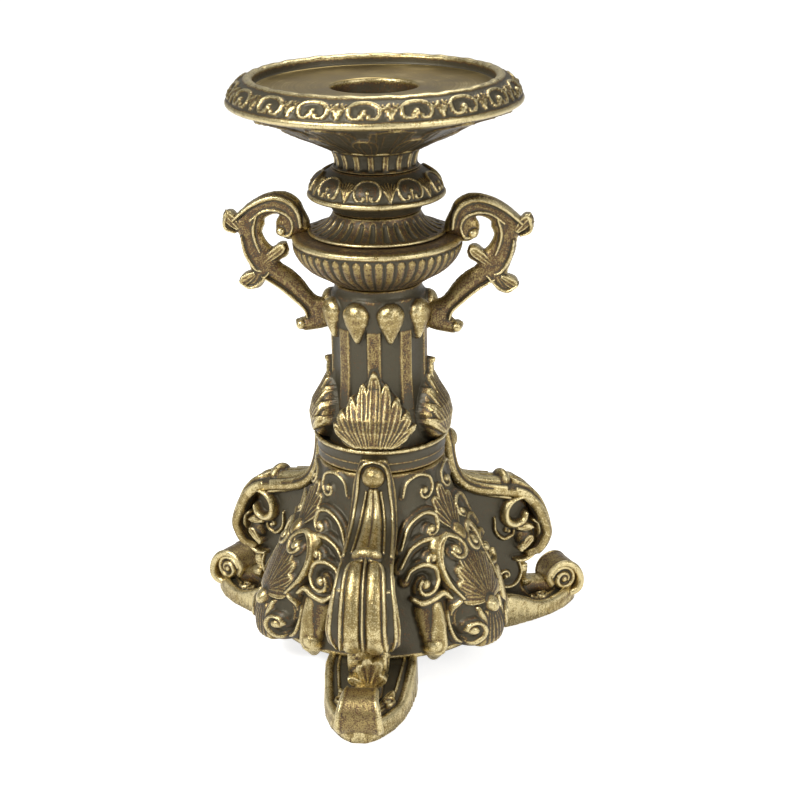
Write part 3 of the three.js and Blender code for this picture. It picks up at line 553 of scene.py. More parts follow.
def made_mesh(name, bm, materials, **rub):
    """Turns a mesh in mm into a finished, gilded one in metres."""
    bmesh.ops.transform(bm, matrix=Matrix.Scale(MM, 4), verts=bm.verts)
    mesh = bpy.data.meshes.new(name)
    bm.to_mesh(mesh)
    bm.free()
    for material in materials:
        mesh.materials.append(material)
    mesh.polygons.foreach_set("use_smooth", [True] * len(mesh.polygons))
    gild(mesh, **rub)
    return mesh


def stood(name, mesh, node_name, angle=0.0):
    """Stands a copy of the mesh, turned round the stack's axis, in the place of a CAD node."""
    copy = mesh.copy()
    copy.name = name
    copy.transform(Matrix.Translation(AXIS) @ Matrix.Rotation(angle, 4, "Z"))
    obj = bpy.data.objects.new(name, copy)
    bpy.context.scene.collection.objects.link(obj)
    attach(obj, "root")
    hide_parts(node_name)
    return obj


def cast_piece(name, outer, steps, relief, slot, node_name, material, step=0.7, ends="bore", **rub):
    """A turned casting with a relief pressed into it along its normals."""
    bm = turned(outer, steps, step, ends)
    place, normal = corners(bm)
    radius = np.hypot(place[:, 0], place[:, 1])
    height, gilt = relief(np.arctan2(place[:, 1], place[:, 0]), radius, place[:, 2])
    note(bm, gilt)
    move_to(bm, place + normal * height[:, None])
    return stood(name, made_mesh(name, bm, [material], **rub), node_name)


def above(base, points):
    """Profile points whose heights are counted from a base."""
    return [(radius, base + height) for radius, height in points]


# ------------------------------------------------------------------ ornament of the stack

# Half of the open scroll that repeats on the rim and the bell: [across, up] in shares of its size.
HEART = [(0.0, 1.0), (0.4, 0.95), (0.75, 0.7), (0.97, 0.3), (1.0, -0.12), (0.9, -0.55), (0.62, -0.88),
         (0.36, -0.82), (0.24, -0.56)]


def heart(relief, centre, half, tall, thick, height, base=0.0):
    """The open heart-shaped scroll with a bead between its curled ends."""
    for side in (-1, 1):
        line = curve([(centre[0] + side * half * x, centre[1] + tall * y) for x, y in HEART], 5)
        relief.bead(line, thick, height, base, 0.22)
        relief.ball((centre[0] + side * half * 0.27, centre[1] - tall * 0.62), thick * 1.5, height * 1.1,
                    base, 0.25)
    relief.ball((centre[0], centre[1] - tall * 0.2), thick * 1.7, height * 1.5, base, 0.35)
    relief.bead([(centre[0], centre[1] - tall * 0.9), (centre[0], centre[1] - tall * 0.3)], thick * 0.8,
                height, base)


def spray(relief, root, reach, thick, height, count, spread, base=0.0):
    """Ridges that fan upwards from a root, as between two scrolls."""
    for i in range(count):
        lean = spread * (2 * i / (count - 1) - 1)
        tip = (root[0] + reach * math.sin(lean), root[1] + reach * math.cos(lean) * (1 - 0.12 * abs(lean)))
        bend = (root[0] + reach * 0.55 * math.sin(lean * 0.75),
                root[1] + reach * 0.55 * math.cos(lean * 0.75))
        relief.bead(curve([root, bend, tip], 4), [thick * 0.8] * 8 + [thick * 0.5], height, base, 0.12)


def make_dish(finish, carving):
    """The wide dish: scrolled border, lip, brushed recess and tealight well."""
    top = span("dish")[1]
    outer = above(top, [
        (0, -21.6), (22.6, -21.6), (23.1, -21.1), (23.1, -9.2), (61.1, -9.2), (61.2, -13.4), (66.5, -13.8),
        (68.3, -13.5), (69.3, -12.9), (69.8, -12), (69.7, -11.1), (69, -10.2), (68.3, -9.8), (67.9, -9.2),
        (66.9, -7.2), (65.3, -5), (63.4, -3.2), (62.2, -2.4), (61.3, -2), (60.9, -1.4), (60.7, -0.6), (60,
                -0.1),
        (58.6, 0), (57.3, -0.2), (56.6, -0.8), (56.4, -2), (56.4, -5.4), (55.8, -6), (22.6, -6), (21.2,
                -5.8),
        (20.6, -6.3), (20.4, -7.2), (20.4, -18.4), (19.8, -19), (0, -19),
    ])

    def relief(angle, radius, z):
        on_band = (radius > 61.4) & (z > top - 9.6)
        up = np.where(on_band, (radius - 65.9) * -0.64 + (z - top + 6.0) * 0.77, 99)
        first = FRONT + math.radians(2.8)
        work = Relief(off_centre(angle, carving.rim_scrolls, first) * radius, up)
        between = Relief(off_centre(angle, carving.rim_scrolls,
                                    first + TAU / carving.rim_scrolls / 2) * radius, up)
        heart(work, (0, 0), 6.8, 4.3, 0.95, 1.2)
        spray(between, (0, -4.6), 8.8, 0.62, 1.0, 7, 0.6)
        height = np.maximum(work.height, between.height)
        wobble = 0.12 * np.sin(angle * 23 + 1.7) + 0.1 * np.sin(angle * 41)
        lip = band(radius, 56.6, 60.6, 1.0) * (z > top - 1.2) * (wobble - 0.24)
        gilt = np.maximum(work.gilt, between.gilt)
        gilt += 0.36 * band(z, top - 0.9, top + 1, 0.5) * (radius > 56) + 0.26 * band(radius, 68.9, 72, 0.8)
        # Painted shade: the deep lower half of the tealight well's wall loses its gilding; the same mask also
        # darkens the dish's underside.
        gilt -= 0.3 * (z < top - 13.2) + 0.06 * on_band
        return height + np.where(on_band, 0, lip), gilt

    gold = gilded_bronze("dish_gilding", finish, 0.04)
    obj = cast_piece(
        "dish_casting", outer, 432, relief, "dish_gilding", "dish", gold, step=0.62, ends="axis", rounds=8
    )
    obj.data.materials.append(brushed_gold("dish_floor_gold", finish))
    for face in obj.data.polygons:
        spot = face.center - AXIS
        inside = math.hypot(spot.x, spot.y) < 56.2 * MM and (top - 20) * MM < spot.z < (top - 5.2) * MM
        if inside and face.normal.z > 0.7:
            face.material_index = 1
    return obj


def make_leaf_cup(finish, carving):
    """The shallow cup of overlapping leaves under the dish."""
    low = span("leaf_cup")[0]
    outer = above(low, [
        (SPIGOT, 0), (22.6, 0), (23.4, 0.3), (24.6, 1), (28.6, 3), (32.4, 5), (37.4, 7), (41.6, 9), (46,
                11.3),
        (49, 13), (53.6, 15), (59.4, 16.9), (64.6, 18.4), (67.2, 19.2), (65.6, 19.6), (60.5, 19.6), (56,
                18.2),
        (50, 16), (42, 12.6), (26, 4.8), (SPIGOT, 4),
    ])
    under = np.array(outer[2:14])

    def relief(angle, radius, z):
        outside = z < np.interp(radius, under[:, 0], under[:, 1]) + 0.25
        height = np.zeros(len(angle))
        for count, first, tip, half, base, veins in (
            (12, 0.0, 46, 6.2, 0.5, 2), (12, 0.5, 66.5, 8.6, 0.0, 2), (24, 0.25, 62, 3.4, 0.0, 1),
        ):
            across = off_centre(angle, count, FRONT + first * TAU / 12) * radius
            leaf = Relief(across, np.where(outside, radius, -99))
            leaf.petal((0, 22.0), (0, tip), half, 0.9, base, veins)
            height = np.maximum(height, leaf.height)
        return height, np.full(len(angle), -0.1)

    bronze = gilded_bronze("leaf_bronze", finish, 0.0)
    return cast_piece("leaf_cup_casting", outer, 384, relief, "patina", "leaf_cup", bronze, step=0.8)


def make_neck(finish, carving):
    """The fluted spool between the cup and the bell."""
    low, high = span("neck_spool")
    outer = above(low, [
        (SPIGOT, 0), (20.9, 0), (20.3, 0.5), (19.8, 1.2), (19.6, 2.2), (19.7, 3.6), (20, 5), (20.6,
                6.6), (21.1, 7.8),
        (21.5, 8.6), (22.3, 9.2), (22.7, 9.8), (22.4, high - low), (SPIGOT, high - low),
    ])

    def relief(angle, radius, z):
        across = np.abs(off_centre(angle, carving.neck_flutes)) * radius
        inside = band(z, low + 1.4, low + 8.4, 0.8) * (radius > 15)
        groove = rise(across, 1.0, 2.0) * inside
        return -1.2 * groove, 0.26 * (1 - groove) * inside - 0.2 * groove - 0.06

    bronze = gilded_bronze("neck_bronze", finish, 0.0)
    return cast_piece("neck_casting", outer, 360, relief, "patina", "neck_spool", bronze, step=0.45)


def make_bell(finish, carving):
    """The bell with its ring of scrolls and gilded lower bead."""
    low = span("bell_collar")[0]
    outer = above(low, [
        (SPIGOT, 0), (21, 0), (21.5, 1.1), (22.6, 2.6), (24.4, 3.8), (27.4, 5.1), (30.2, 6), (32,
                6.6), (32.9, 7.3),
        (33.2, 8.2), (32.8, 9.1), (31.5, 9.6), (30.9, 10.2), (30.7, 11.3), (30.2, 12.7), (29.4, 14.1), (28,
                15.7),
        (26.2, 17), (24.6, 17.9), (23.2, 18.7), (22.3, 19.5), (21.7, 20.1), (21.3, 20.6), (SPIGOT, 20.6),
    ])

    def relief(angle, radius, z):
        on_band = (radius > 23.2) & (z > low + 9.6)
        up = np.where(on_band, (radius - 28.7) * -0.674 + (z - low - 15) * 0.738, 99)
        first = FRONT + math.radians(-1.3)
        work = Relief(off_centre(angle, carving.bell_scrolls, first) * 28.5, up)
        between = Relief(off_centre(angle, carving.bell_scrolls,
                                    first + TAU / carving.bell_scrolls / 2) * 28.5, up)
        swell = 1.2 * np.sqrt(np.clip(1 - (work.across / 6.2) ** 2 - ((up - 0.4) / 6.0) ** 2, 0,
                                      1)) * on_band
        heart(work, (0, -0.3), 5.9, 5.3, 0.62, 0.8, 0.75)
        spray(between, (0, -5.8), 9.8, 0.55, 1.0, 7, 0.55)
        height = np.maximum(np.maximum(work.height, between.height), swell)
        gilt = np.maximum(work.gilt, between.gilt) - 0.08
        gilt += 0.40 * band(z, low + 6.6, low + 9.4, 0.8) * (radius > 31)
        return height, gilt

    bronze = gilded_bronze("bell_bronze", finish, 0.0)
    return cast_piece("bell_casting", outer, 450, relief, "patina", "bell_collar", bronze, step=0.5)


def make_flare(finish, carving):
    """The flare with grooves between flat reeds."""
    low = span("reeded_flare")[0]
    outer = above(low, [
        (SPIGOT, 0), (32.4, 0), (33.1, 0.3), (33.4, 0.9), (33.1, 1.5), (32.2, 1.8), (31, 2), (29.2,
                2.4), (27.2, 3.4),
        (25.5, 4.4), (24.2, 5.4), (23.2, 6.4), (22.4, 7.4), (21.8, 8.4), (21.3, 9.4), (21, 10.6), (SPIGOT,
                10.6),
    ])

    def relief(angle, radius, z):
        groove = Relief(off_centre(angle, carving.reeds, FRONT + math.radians(2)) * radius, radius)
        groove.bead([(0, 22.6), (0, 29.6)], [1.05, 1.6], 1.0)
        cut = groove.height * (z > low + 1.9)
        gilt = 0.18 * (1 - cut) * (z > low + 1.9) - 0.25 * cut + 0.2 * band(z, low + 0.2, low + 1.7,
                0.5) - 0.06
        return -0.9 * cut, gilt

    bronze = gilded_bronze("flare_bronze", finish, -0.02)
    return cast_piece("flare_casting", outer, 416, relief, "gilding", "reeded_flare", bronze, step=0.45)


def make_bowl(finish, carving):
    """The bowl with its ring of gadroons under a plain torus."""
    low = span("gadroon_bowl")[0]
    outer = above(low, [
        (SPIGOT, 0), (21.2, 0), (21.6, 0.6), (22.6, 1.4), (24.2, 2.4), (27, 4.2), (30.4, 6), (33.4,
                7.8), (35.8, 10),
        (37.6, 12.2), (39, 14.4), (39.9, 16.8), (40.2, 18.4), (40.3, 19.2), (40, 19.6), (40.6, 20.2), (41,
                21),
        (40.7, 22), (39.4, 22.8), (37.4, 23.4), (35.2, 23.7), (SPIGOT, 23.7),
    ])

    def relief(angle, radius, z):
        share = np.abs(off_centre(angle, carving.gadroons)) / (TAU / carving.gadroons / 2)
        on = band(z, low + 1.9, low + 19.2, 0.4) * (radius > 21)
        cap = np.sqrt(np.clip(1 - (np.clip(z - (low + 16.6), 0, 9) / 2.5) ** 2, 0, 1))
        bead = np.sqrt(np.clip(1 - (share / np.maximum(0.93 * cap, 0.02)) ** 2, 0, 1))
        gilt = on * (0.26 * bead - 0.30) + 0.34 * band(z, low + 19.9, low + 22.6, 1.0) * (radius > 36)
        return on * (1.3 * bead - 0.7), gilt

    bronze = gilded_bronze("bowl_bronze", finish, 0.0)
    return cast_piece("bowl_casting", outer, 480, relief, "gilding", "gadroon_bowl", bronze, step=0.55)


# Tips of one palmette's lobes from its root: [across, up, half width].
LOBES = [(0, 35, 3.6), (6.4, 29.4, 2.7), (11.6, 23, 2.5), (15.6, 16.4, 2.3), (18.2, 9.6, 2.1)]


def make_column(finish, carving):
    """The shaft: drops over flutes and gilded strips, palmettes round the foot."""
    low = span("column")[0]
    outer = above(low, [
        (SPIGOT, 0), (26.2, 0), (26.6, 1.4), (26.2, 4.4), (25.2, 14.4), (24.2, 24.4), (23.5, 32.4), (23.2,
                39.4),
        (23.2, 54.4), (23.3, 67.4), (23.1, 72.4), (22.9, 74), (23, 74.6), (22.3, 75.3), (21.5,
                76.4), (21.25, 77.8),
        (21.2, 79.7), (SPIGOT, 79.7),
    ])

    def relief(angle, radius, z):
        across = np.abs(off_centre(angle, carving.modules)) * 23.4
        strip = band(across, -9, 3.1, 0.5) * band(z, low + 20, low + 60, 1.4)
        flute = band(across, 3.6, 99, 0.8) * band(z, low + 12, low + 71, 3)
        height = 0.35 * strip - flute * 1.6 * np.sqrt(np.clip(1 - ((across - 8.2) / 4.9) ** 2, 0, 1))
        gilt = 0.34 * strip * rise(z, low + 22, low + 36) - 0.12
        aside = off_centre(angle, carving.modules, FRONT + TAU / carving.modules / 2) * 25
        bulb = low + 68.2
        wide = np.interp(z, [bulb - 14.5, bulb - 13, bulb - 8.5, bulb - 4, bulb], [0, 1.5, 3.8, 6.2, 7.3])
        wide *= np.sqrt(np.clip(1 - (np.clip(z - bulb, 0, 9) / 6.3) ** 2, 0, 1))
        round_off = np.sqrt(np.clip(1 - (aside / np.maximum(wide, 0.01)) ** 2, 0, 1))
        hangs = (round_off > 0) & (wide > 0.3)
        height = np.where(hangs, np.maximum(height, 6.2 * (wide / 7.3) ** 0.75 * round_off - 0.5), height)
        gilt = np.where(hangs, 0.30 * rise(round_off, 0.2, 0.8), gilt)
        root = low + 5.4
        work = Relief(off_centre(angle, carving.palmettes) * 27.5, z)
        knots = [low + 2, low + 6.4, low + 12.4, low + 18.4, low + 25.9, low + 32.9, low + 38, low + 41]
        swell = np.interp(z, knots, [6.2, 7.0, 8.3, 7.4, 3.9, 0.9, 1.0, 2.2])
        spread = [(x * 1.02, root + y * 0.97) for x, y, _ in LOBES]
        bed = Relief(work.across, z)
        bed.plate(curve([*spread[::-1], *[(-x, y) for x, y in spread[1:]], (-12, root - 3), (12, root - 3)],
                        4), 1, 2.5)
        for i, (x, y, half) in list(enumerate(LOBES))[::-1]:
            for side in (-1, 1):
                work.petal((side * x * 0.36, root - 1), (side * x, root + y), half, 1.2, 0.8 - 0.1 * i,
                           2 if i == 0 else 1, 0.24)
        work.ball((0, root + 34), (1.8, 2.0), 1.8, 1.2, 0.3)
        leaf = work.height > 0.02
        height = np.where(bed.height > 0.02, np.maximum(height, swell * bed.height), height)
        height = np.where(leaf, swell * np.maximum(bed.height, 0.7) + work.height, height)
        gilt = np.where(leaf, work.gilt, np.where(bed.height > 0.02, -0.2, gilt))
        return height * (radius > 20), gilt

    bronze = gilded_bronze("column_bronze", finish, 0.0, 1.25)
    return cast_piece("column_casting", outer, 432, relief, "patina", "column", bronze, step=0.5, rounds=8)


def make_collar(finish, carving):
    """The tray collar with its speckled lip."""
    low = span("collar")[0]
    outer = above(low, [
        (SPIGOT, 0), (31.3, 0), (31.5, 0.5), (31.3, 3.6), (31.6, 4.6), (32, 5.1), (31.6, 5.7), (31.6,
                8), (32.2, 9.8),
        (33.1, 10.8), (33.4, 11.6), (33, 12.3), (31.9, 12.5), (31.2, 12), (30.4, 10.2), (28.8, 8.7), (27,
                8.4),
        (SPIGOT, 8.2),
    ])

    def relief(angle, radius, z):
        lip = band(z, low + 10.8, low + 14, 0.8) * (radius > 31)
        bead = band(z, low + 4.7, low + 5.6, 0.4) * (radius > 31.5)
        wobble = 0.14 * np.sin(angle * 31 + 2.0 * np.sin(angle * 7))
        return lip * wobble, 0.42 * lip + 0.2 * bead - 0.12

    bronze = gilded_bronze("collar_bronze", finish, 0.0, 1.3)
    return cast_piece("collar_casting", outer, 320, relief, "patina", "collar", bronze, step=0.4)


# ------------------------------------------------------------------ the tripod

LEGS = ("front", "right", "left")
PANELS = ("right", "back", "left")


def scrolled(work, points, eye, width, height, base, gilt, ball=1.9, body=0.0):
    """A line that curls in on its eye, over a broad dark roll, with a ball at the eye."""
    (x, y), (ex, ey) = points[-1], eye
    reach = math.hypot(x - ex, y - ey)
    start = math.atan2(y - ey, x - ex)
    way = -1 if (points[-2][0] - ex) * (y - ey) < (points[-2][1] - ey) * (x - ex) else 1
    wound = spiral(eye, start, way * 0.62, reach, reach * 0.42, 12)
    line = curve(points, 6) + wound[1:]
    if body:
        work.bead(line, body, base, 0, -0.1)
    work.bead(line, [width * 0.7, width, width, width * 0.8], height, base, gilt)
    if ball:
        work.ball(eye, ball, height * 1.3, base, gilt + 0.05)


def make_body(finish, carving):
    """The bell-shaped body: four scrolls and a console on each side of every leg."""
    low, top = BODY_LOW, BODY_TOP
    levels = np.linspace(low, top, 16)
    wall = [(float(skirt(z)), z) for z in levels]
    inner = [(float(skirt(z)) - 4.2, z) for z in (top - 10, top - 34, top - 58, low)]
    outer = [*wall, (BORE, top), (BORE, top - 6), (15, top - 6), *inner]

    def relief(angle, radius, z):
        outside = radius > skirt(z) - 1.5
        side = np.abs(off_centre(angle, 3)) * radius
        work = Relief(np.where(outside, side, -99), z)
        scrolled(work, [(13.7, 90), (15.5, 96.5), (21.5, 99.6), (28, 97.4), (30.3, 92.9)], (25.5, 91.2),
                 0.8, 1.0, 0.8, 0.24, 1.7, 2.0)
        scrolled(work, [(13, 66), (16.5, 76.5), (23.6, 80.9), (30, 79), (32, 74.5)], (28.3, 73), 1.0, 1.4,
                 2.2, 0.34, 2.0, 3.4)
        scrolled(work, [(13, 58), (17.5, 65.8), (25, 68.9), (31.6, 67.2), (34.4, 61)], (29, 60.4), 1.1, 1.5,
                 2.8, 0.34, 2.3, 3.8)
        scrolled(work, [(15.5, 52.5), (18, 56.6), (24.2, 58.1), (30, 55.6), (31.8, 50.2)], (25.4, 49.4),
                 1.1, 1.5, 3.2, 0.34, 2.1, 3.4)
        arch = curve([(18.6, 44.2), (23, 41.6), (28.5, 42.2), (34, 44), (38.4, 40.6)], 6)
        trunk = curve([(28.5, 39), (30, 30), (30.4, 21)], 6)
        work.bead(trunk, [8.8, 7.6, 6.0], 5.6, 0, 0.06)
        work.ball((30.2, 21.5), (6.0, 5.6), 7.0, 0, 0.24)
        work.bead(arch, [1.0, 1.8, 1.0], 2.2, 4.0, 0.30)
        work.bead([(x + 1.2, z) for x, z in trunk], [3.0, 4.2, 4.6], 1.7, 4.6, 0.26)
        hem = band(z, low - 1, low + 1.6, 0.8)
        return work.height * outside + 0.6 * hem * outside, work.gilt - 0.1 + 0.1 * hem

    bronze = gilded_bronze("body_bronze", finish, 0.0, 1.1)
    return cast_piece("tripod_body_casting", outer, 480, relief, "patina", "tripod_body", bronze, step=0.55,
                      ends="ring")


def make_panels(finish, carving):
    """Three carved panels: a sprig, two C scrolls, an acanthus fan and a boss on a ribbed foot."""
    low, top, reach = 14.6, 93.0, math.radians(25)
    bm, across, up = patch(round(49 / carving.cell), round(79 / carving.cell))
    angle, z = (across * 2 - 1) * reach, low + up * (top - low)
    radius = skirt(z)
    work = Relief(np.abs(angle) * radius, z)
    knots = [14, 18, 25, 33, 40, 48, 56, 66, 76, 90]
    swell = np.interp(z, knots, [9.0, 10.5, 11, 10.5, 10, 9, 8, 6, 3, 1.0])
    swell *= np.sqrt(np.clip(1 - (work.across / np.interp(z, [15, 30, 66, 92], [12, 19, 17, 8])) ** 2, 0,
                             1))
    for tip, half in (((7.2, 81.5), 2.5), ((5.4, 87.2), 2.5), ((0, 92.4), 2.4)):
        work.petal((0.3, 71), tip, half * 1.15, 1.0, 0.6, 1, 0.3)
    scrolled(work, [(12.5, 42.5), (15.5, 50), (16.2, 59), (13.2, 67.5), (8, 70.6), (3.6, 68.6)],
             (6.4, 63.6), 1.2, 1.6, 2.2, 0.32, 2.1, 2.8)
    work.bead(curve([(15.2, 48), (16.6, 58), (13.6, 67), (8, 70.8)], 5), [1.0, 2.4, 2.8, 1.2], 1.5, 2.0,
              0.34)
    work.ball((18.6, 55), (3.0, 4.8), 3.2, 0.6, 0.22)
    for tip, half in (((13, 42), 3.0), ((12, 49.5), 3.2), ((9.4, 56.4), 3.3), ((5.4, 62.6), 3.3),
                      ((0, 70), 4.6)):
        work.petal((0.6, 39), tip, half, 1.2, 1.2, 2, 0.28)
    work.ball((0, 70), (3.0, 4.0), 2.8, 1.6, 0.28)
    scrolled(work, [(14, 41.6), (18.4, 37), (19.8, 30), (17.5, 21.6), (12.4, 18.6), (8.2, 22)],
             (12.2, 26.4), 1.1, 1.6, 2.4, 0.32, 2.3, 2.8)
    work.bead(curve([(7.2, 36), (6.2, 30), (6.6, 24)], 5), [0.9, 1.6, 0.9], 1.8, 1.0, 0.24)
    for lean in (0, 2.4, 4.8, 7.0):
        work.bead(curve([(lean * 0.5, 33), (lean * 0.95, 24), (lean, 15.6)], 5), [0.8, 1.3, 1.5], 1.3, 1.0,
                  0.02)
    work.ball((0, 36), (3.2, 4.2), 4.4, 1.4, 0.34)
    edge = band(work.across / radius / reach, -1, 0.97, 0.03) * band(z, low + 0.6, top - 0.6, 0.8)
    height = (swell + work.height) * edge - 0.5
    note(bm, work.gilt - 0.1)

    def at(distance):
        return np.stack([distance * np.cos(angle), distance * np.sin(angle), z], 1)

    move_to(bm, at(radius + height))
    backed(bm, at(radius - 2.2))
    bronze = gilded_bronze("panel_bronze", finish, 0.0, 1.1)
    mesh = made_mesh("panel_casting", bm, [bronze])
    for i, side in enumerate(PANELS):
        stood(f"panel_{side}_casting", mesh, f"panel_{side}", FRONT + TAU / 6 + i * TAU / 3)


# Outer face of a leg from the collar to the knee's tip: [reach, height, half width].
STRAP = [
    (34.5, 110.5, 6.6), (35.6, 104, 8.6), (35.8, 97, 10.2), (37.2, 90, 11.0), (40.4, 84, 11.6), (45.6, 79.8,
            12.2),
    (53, 77, 12.4), (63, 74.6, 12.6), (74, 71.8, 13.2), (80, 67, 14.2), (84.6, 60, 15.8), (88.3, 48.7,
            17.6),
    (87.5, 42, 17.4), (83.6, 35.4, 16.4), (78, 31.6, 12.4),
]


def strap_relief(work, half):
    """Rims, ribs and a two-lobed tongue; a cap; a double arch; pitted gilding under the knee."""
    for side in (-1, 1):
        rim = [(0, 0.8), (4.6, 2.2), (7.0, 6.5), (8.0, 16), (9.8, 30), (11.4, 54)]
        work.bead(curve([(side * x, y) for x, y in rim], 6), [0.8, 1.0, 0.9, 0.8], 1.5, 0, 0.22)
        work.bead(curve([(side * 3.6, 16), (side * 5.8, 30), (side * 7.6, 52)], 5), 0.7, 1.2, 0, 0.20)
        work.bead([(side * 1.0, 15), (side * 2.0, 30), (side * 2.7, 52)], [1.4, 2.5, 3.6], 2.8, 0, 0.62)
        work.bead(curve([(side * 4.4, 63), (side * 4.8, 76), (side * 5.6, 104)], 5), [3.4, 4.0, 4.6], 2.8,
                  0, 0.50)
        work.bead(curve([(side * 2, 60), (side * 8, 64), (side * 9.8, 78), (side * 10.8, 104)], 5), 1.1,
                  2.6, 0, 0.34)
        work.bead(curve([(side * 12, 60), (side * 14.2, 78), (side * 15.6, 96), (side * 13, 108)], 5), 0.8,
                  1.0, 0, 0.2)
    work.bead([(0, 60), (0, 104)], 0.8, 3.2, 0, 0.28)
    work.ball((0, 8.2), 5.6, 5.4, 0.2, 0.34)
    work.ball((0, 56), (7.4, 3.8), 5.6, 0.4, 0.30)
    knee = rise(work.up, 97, 102) * (np.abs(work.across) < half * 0.8)
    work.height += 0.7 * knee * (1 - (work.across / half) ** 2)
    work.gilt += 0.5 * knee - 0.1


def leg_side(work):
    """Half thickness of the leg's web, volute and toe as seen from the side."""
    web = [
        (32, 106), (33.5, 94), (36, 82), (43, 77), (52, 74.6), (63, 72), (73, 69.2), (78.5, 63), (81.5,
                55), (84.2, 47),
        (83, 40), (79, 34.5), (76.5, 31), (76, 22), (78, 14), (82, 8.5), (82, 5), (50, 5), (40, 40), (32,
                70),
    ]
    work.plate(web, 7.6, 3.0, 0, -0.12)
    work.bead(curve([(37, 82), (47, 75.4), (58, 71.5), (67, 67.5)], 6), [1.8, 2.4, 3.0, 1.6], 3.6, 7.4,
              0.26)
    ribbon = curve([(82, 64), (76, 67), (69, 66.4), (64.6, 62), (64.8, 55.6), (69.4, 52.2), (74.4, 53.6),
                    (76, 57.6)], 6)
    work.bead(ribbon, [0.9, 1.6, 2.2, 2.6, 2.2, 1.6], 4.6, 8.2, 0.26)
    work.bead(curve([(70.5, 32), (76.2, 31.6), (81.6, 35.6), (84.0, 43), (83.2, 50), (80.2, 53)], 6),
              [1.2, 1.8, 2.0, 1.2], 4.0, 8.6, 0.28)
    work.ball((75.6, 44.6), (5.2, 5.6), 5.0, 8.0, -0.06)
    work.petal((71.6, 37.6), (78.6, 45.2), 2.3, 1.6, 12.4, 1, 0.26)
    work.petal((70.2, 50.2), (79.6, 49.6), 1.7, 2.0, 11.0, 1, 0.22)
    scrolled(work, [(58.6, 57), (59.4, 49.4), (64, 44.4), (69, 45.4)], (66.6, 48.6), 1.3, 2.4, 7.2, 0.0,
             1.6)
    scrolled(work, [(73, 30), (74.6, 23), (71, 16.6), (64.6, 16.4), (61.6, 20.6)], (65.4, 22.6), 1.2, 2.2,
             7.2, 0.18, 1.8)
    work.ball((101.4, 12.8), 9.6, 6.6, 0, -0.05, power=0.22)
    work.bead(spiral((101.4, 12.8), math.pi * 0.9, -1.5, 7.8, 2.2, 40), [1.3, 1.6, 1.2], 1.9, 6.0, 0.24)
    work.ball((101.4, 12.8), 2.2, 2.4, 6.0, 0.12)
    work.bead(curve([(80, 10), (86, 10.6), (92, 9)], 5), [6, 4.6, 5], 6.0, 0, 0.0, power=0.3)


# Half outline of the foot plate from the toe inwards: [reach, half width].
PLATE = [(110.3, 2.6), (107.3, 7.5), (103.3, 10.8), (97.3, 14.8), (87.3, 18.8), (76.3, 21), (64.3, 22.2),
         (52, 21.6)]


def foot_plate(work):
    """Height of the foot plate over its flat sole: it climbs to the hem between gilded double rims."""
    climb = 8.6 * rise(-work.across, -86, -60)
    outline = [*PLATE, *[(x, -y) for x, y in PLATE[::-1]]]
    work.plate(outline, 5.6, 2.4, 0, 0.1)
    work.plate([(x - 3, y * 0.86) for x, y in outline], 6.0, 0.5, 0, -0.16)
    for side in (-1, 1):
        rim = curve([(x - 2.2, side * max(y - 2.3, 0.6)) for x, y in PLATE], 4)
        work.bead(rim, 2.2, 2.4, 5.4, 0.26)
        inner = curve([(x - 6, side * max(y - 6.4, 1.0)) for x, y in PLATE[1:]], 4)
        work.bead(inner, 0.9, 1.2, 5.8, 0.22)
        work.bead(spiral((85, side * 11), 0, side * 1.2, 3.6, 1.0, 18), 1.0, 3.4, 5.8, 0.32)
        work.petal((90, side * 6), (78, side * 13), 2.4, 2.4, 5.8, 1, 0.24)
    work.height += np.where(work.height > 0, climb, 0)


def crest(work):
    """An upright spray of leaves under the knee, over its flat back."""
    for tip, half in (((-8.8, 17.5), 2.2), ((9.2, 19), 2.8), ((-3.2, 25), 2.6), ((6.4, 27.4), 3.0),
                      ((0.6, 28.6), 2.8)):
        work.petal((1, 11), tip, half, 3.0, 2.4, 1, 0.30)


# Toe from its curl over the roll to under the plate's nose: [reach, height, half width].
TOE = [
    (93.4, 9.0, 7.0), (91.2, 13.6, 7.4), (92.6, 18.6, 7.8), (96.4, 22.0, 8.0), (101.5, 23.2, 8.4), (106.8,
            21.4, 9.2),
    (110.4, 17.2, 10.4), (111.7, 12, 11.2), (110.6, 7.2, 11.6), (107.4, 3.8, 10.6), (101, 2.2, 8.6),
]


def toe_relief(work, half):
    """A shallow dished face with a soft rim."""
    share = np.abs(work.across) / half
    work.height += 0.8 * band(share, 0.78, 1.2, 0.2)
    work.gilt += 0.26 + 0.1 * band(share, 0.8, 1.2, 0.2)


def joined(*parts):
    """Several closed shells as one mesh."""
    whole = bmesh.new()
    for part in parts:
        bmesh.ops.recalc_face_normals(part, faces=part.faces)
        held = bpy.data.meshes.new("part")
        part.to_mesh(held)
        part.free()
        whole.from_mesh(held)
        bpy.data.meshes.remove(held)
    return whole


